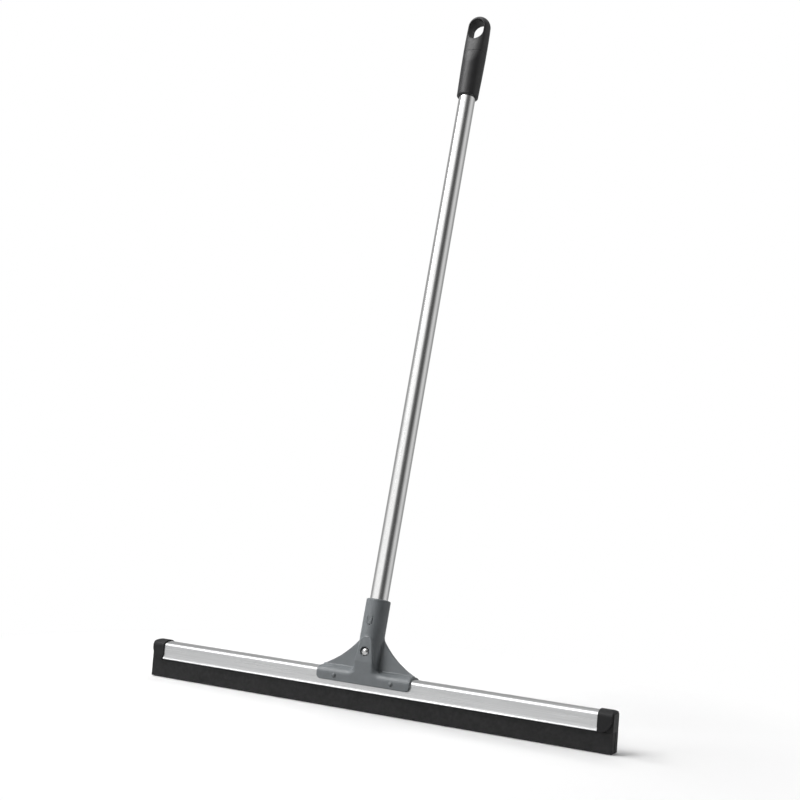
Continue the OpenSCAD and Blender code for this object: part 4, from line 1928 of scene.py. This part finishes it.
@dataclass(frozen=True)
class Studio:
    """White floor, white world, soft lamps and a wall that only reflections see.

    Attributes:
        lamps: Soft lamps.
        target: Point that the lamps face, in metres.
        fill: Light of the world on the object.
        floor_half: Half width of the floor, in metres.
        floor_drop: How far the floor lies below the blade tips.
        floor_white: Colour of the floor for the eye.
        floor_bounce: Its colour for the light that it throws back on the object.
        floor_lift: How far the floor is lifted to white for the eye.
        fade: Distances over which the floor goes plain white, in metres.
        shine_spot: Middle of the floor that reflections see white, in metres.
        shine_reach: Distances from there over which it takes the wall's tones, in metres.
        wall_radius: Radius of the wall, in metres.
        wall_height: Lower and upper edge of the wall, in metres.
        wall_steps: Sides of the wall.
        wall_tones: Degrees round from the front, and the wall's brightness there.
    """

    lamps: tuple[Softbox, ...] = (
        Softbox("key_softbox", -43.0, 45.0, 5.6),
        Softbox("low_softbox", -43.0, 20.0, 4.0, mirrored=False),
        Softbox("top_softbox", -75.0, 70.0, 2.2),
        Softbox("left_softbox", -88.0, 30.0, 5.6, mirrored=False),
        Softbox("right_softbox", 115.0, 20.0, 2.4, mirrored=False),
        Softbox("rear_softbox", -165.0, 32.0, 2.8, mirrored=False, size=(4.0, 2.6)),
    )
    target: Point = (0.0, 0.06, 0.4)
    fill: float = 0.04
    floor_half: float = 9.0
    floor_drop: float = 1.0
    floor_white: float = 0.80
    floor_bounce: float = 0.30
    floor_lift: float = 0.04
    fade: Pair = (0.42, 0.75)
    shine_spot: Point = (-0.1, -0.35, 0.0)
    shine_reach: Pair = (0.5, 1.1)
    wall_radius: float = 6.0
    wall_height: Pair = (-0.3, 7.8)
    wall_steps: int = 120
    wall_tones: tuple[Pair, ...] = (
        (-180.0, 0.5), (-150.0, 0.62), (-128.0, 0.5), (-110.0, 0.4), (-92.0, 0.42), (-76.0, 0.68),
        (-58.0, 1.15), (4.0, 1.2), (13.0, 0.9), (21.0, 0.46), (32.0, 0.2), (44.0, 0.12), (60.0, 0.1),
        (71.0, 0.17), (84.0, 0.42), (98.0, 0.7), (113.0, 0.8), (131.0, 0.64), (152.0, 0.34),
        (166.0, 0.4), (180.0, 0.5))

    def build(self) -> None:
        """Set up the whole studio."""
        bpy.context.scene.view_settings.view_transform = "Standard"
        for lamp in self.lamps:
            lamp.build(Vector(self.target))
        self._world()
        self._floor()
        self._wall()

    @staticmethod
    def _seen(sheet: NodeSheet) -> Any:
        """Find the rays that show the background.

        Args:
            sheet: Sheet of the material or the world.

        Returns:
            Socket that is 1 for camera, glossy and transmission rays.
        """
        path = sheet.add("ShaderNodeLightPath").outputs
        shown = sheet.math("MAXIMUM", path["Is Camera Ray"], path["Is Glossy Ray"])
        return sheet.math("MAXIMUM", shown, path["Is Transmission Ray"])

    def _world(self) -> None:
        """White world for the eye and for reflections, dimmer as a light."""
        world = bpy.data.worlds.new("white_room")
        world.use_nodes = True
        bpy.context.scene.world = world
        sheet = NodeSheet(world.node_tree)
        dim = world.node_tree.nodes["Background"]
        dim.inputs["Color"].default_value = WHITE
        dim.inputs["Strength"].default_value = self.fill
        white = sheet.add("ShaderNodeBackground", {"Color": WHITE, "Strength": 1.0})
        mixed = sheet.mix(self._seen(sheet), dim.outputs[0], white.outputs[0])
        sheet.join(mixed, world.node_tree.nodes["World Output"].inputs["Surface"])

    def _floor(self) -> None:
        """Pale floor that keeps the shadow and fades into the white room."""
        half, drop = self.floor_half / MM, -self.floor_drop
        corners = [(-half, -half, drop), (half, -half, drop), (half, half, drop), (-half, half, drop)]
        floor = linked("pale_floor", new_mesh("pale_floor", corners, [[0, 1, 2, 3]]))
        material, sheet, surface = bare_material("pale_floor")
        seen = self._seen(sheet)
        spot = sheet.add("ShaderNodeTexCoord")
        far = sheet.add("ShaderNodeVectorMath", operation="LENGTH")
        matt = sheet.add("ShaderNodeBsdfDiffuse")
        lift = sheet.add("ShaderNodeEmission", {"Color": WHITE})
        pale = sheet.add("ShaderNodeAddShader")
        white = sheet.add("ShaderNodeEmission", {"Color": WHITE, "Strength": 1.0})
        sheet.join(spot.outputs["Object"], far.inputs[0])
        sheet.join(sheet.span(seen, (0.0, 1.0), (self.floor_bounce, self.floor_white)), matt.inputs["Color"])
        sheet.join(sheet.math("MULTIPLY", seen, self.floor_lift), lift.inputs["Strength"])
        sheet.join(matt.outputs[0], pale.inputs[0])
        sheet.join(lift.outputs[0], pale.inputs[1])
        share = sheet.math("MULTIPLY", sheet.span(far.outputs["Value"], self.fade, smooth=True), seen)
        plain = sheet.mix(share, pale.outputs[0], white.outputs[0])
        sheet.join(self._shine(sheet, plain), surface)
        floor.data.materials.append(material)

    def _shine(self, sheet: NodeSheet, plain: Any) -> Any:
        """Give the far floor the wall's tones in reflections.

        Args:
            sheet: Sheet of the floor's material.
            plain: Shader of the floor as the eye sees it.

        Returns:
            The shader with those reflections.
        """
        spot = sheet.add("ShaderNodeTexCoord")
        path = sheet.add("ShaderNodeLightPath")
        away = sheet.add("ShaderNodeVectorMath", operation="DISTANCE")
        away.inputs[1].default_value = self.shine_spot
        sheet.join(spot.outputs["Object"], away.inputs[0])
        share = sheet.span(away.outputs["Value"], self.shine_reach, smooth=True)
        mirrored = sheet.math("MULTIPLY", share, path.outputs["Is Glossy Ray"])
        return sheet.mix(mirrored, plain, self._tones(sheet))

    def _tones(self, sheet: NodeSheet) -> Any:
        """Glow with light and dark bands round the object.

        Args:
            sheet: Sheet of the material.

        Returns:
            The glow's shader.
        """
        spot = sheet.add("ShaderNodeTexCoord")
        parts = sheet.add("ShaderNodeSeparateXYZ")
        ramp = sheet.add("ShaderNodeValToRGB")
        glow = sheet.add("ShaderNodeEmission", {"Strength": 1.0})
        stops = ramp.color_ramp.elements
        while len(stops) < len(self.wall_tones):
            stops.new(0.5)
        for stop, (degrees, tone) in zip(stops, self.wall_tones):
            stop.position = (degrees + 180.0) / 360.0
            stop.color = (tone, tone, tone, 1.0)
        sheet.join(spot.outputs["Object"], parts.inputs[0])
        ahead = sheet.math("MULTIPLY", parts.outputs["Y"], -1.0)
        turn = sheet.math("ARCTAN2", parts.outputs["X"], ahead)
        sheet.join(sheet.span(turn, (-math.pi, math.pi)), ramp.inputs["Fac"])
        sheet.join(ramp.outputs["Color"], glow.inputs["Color"])
        return glow.outputs[0]

    def _wall(self) -> None:
        """Round wall of light and dark cards that only reflections see."""
        count = self.wall_steps
        ring = arc((0.0, self.target[1] / MM), self.wall_radius / MM, 0.0, 360.0, count)[:-1]
        points = [(x, y, edge / MM) for edge in self.wall_height for x, y in ring]
        faces = [[(i + 1) % count, i, count + i, count + (i + 1) % count] for i in range(count)]
        wall = linked("card_wall", new_mesh("card_wall", points, faces))
        material, sheet, surface = bare_material("card_wall")
        sheet.join(self._tones(sheet), surface)
        wall.data.materials.append(material)
        for ray in ("camera", "diffuse", "shadow", "transmission", "volume_scatter"):
            setattr(wall, f"visible_{ray}", False)


def main() -> None:
    """Build the squeegee and its studio."""
    logging.basicConfig(level=logging.INFO, format="%(name)s: %(message)s")
    line = HandleLine()
    sweep, row = sweep_tree(), row_tree()
    PhotoCamera().build()
    Studio().build()
    Head().build(sweep)
    EndCaps().build()
    Holder(line).build(sweep)
    Rivets().build(row)
    Handle(line).build(sweep)
    SnapButton(line).build()


if __name__ == "__main__":
    main()
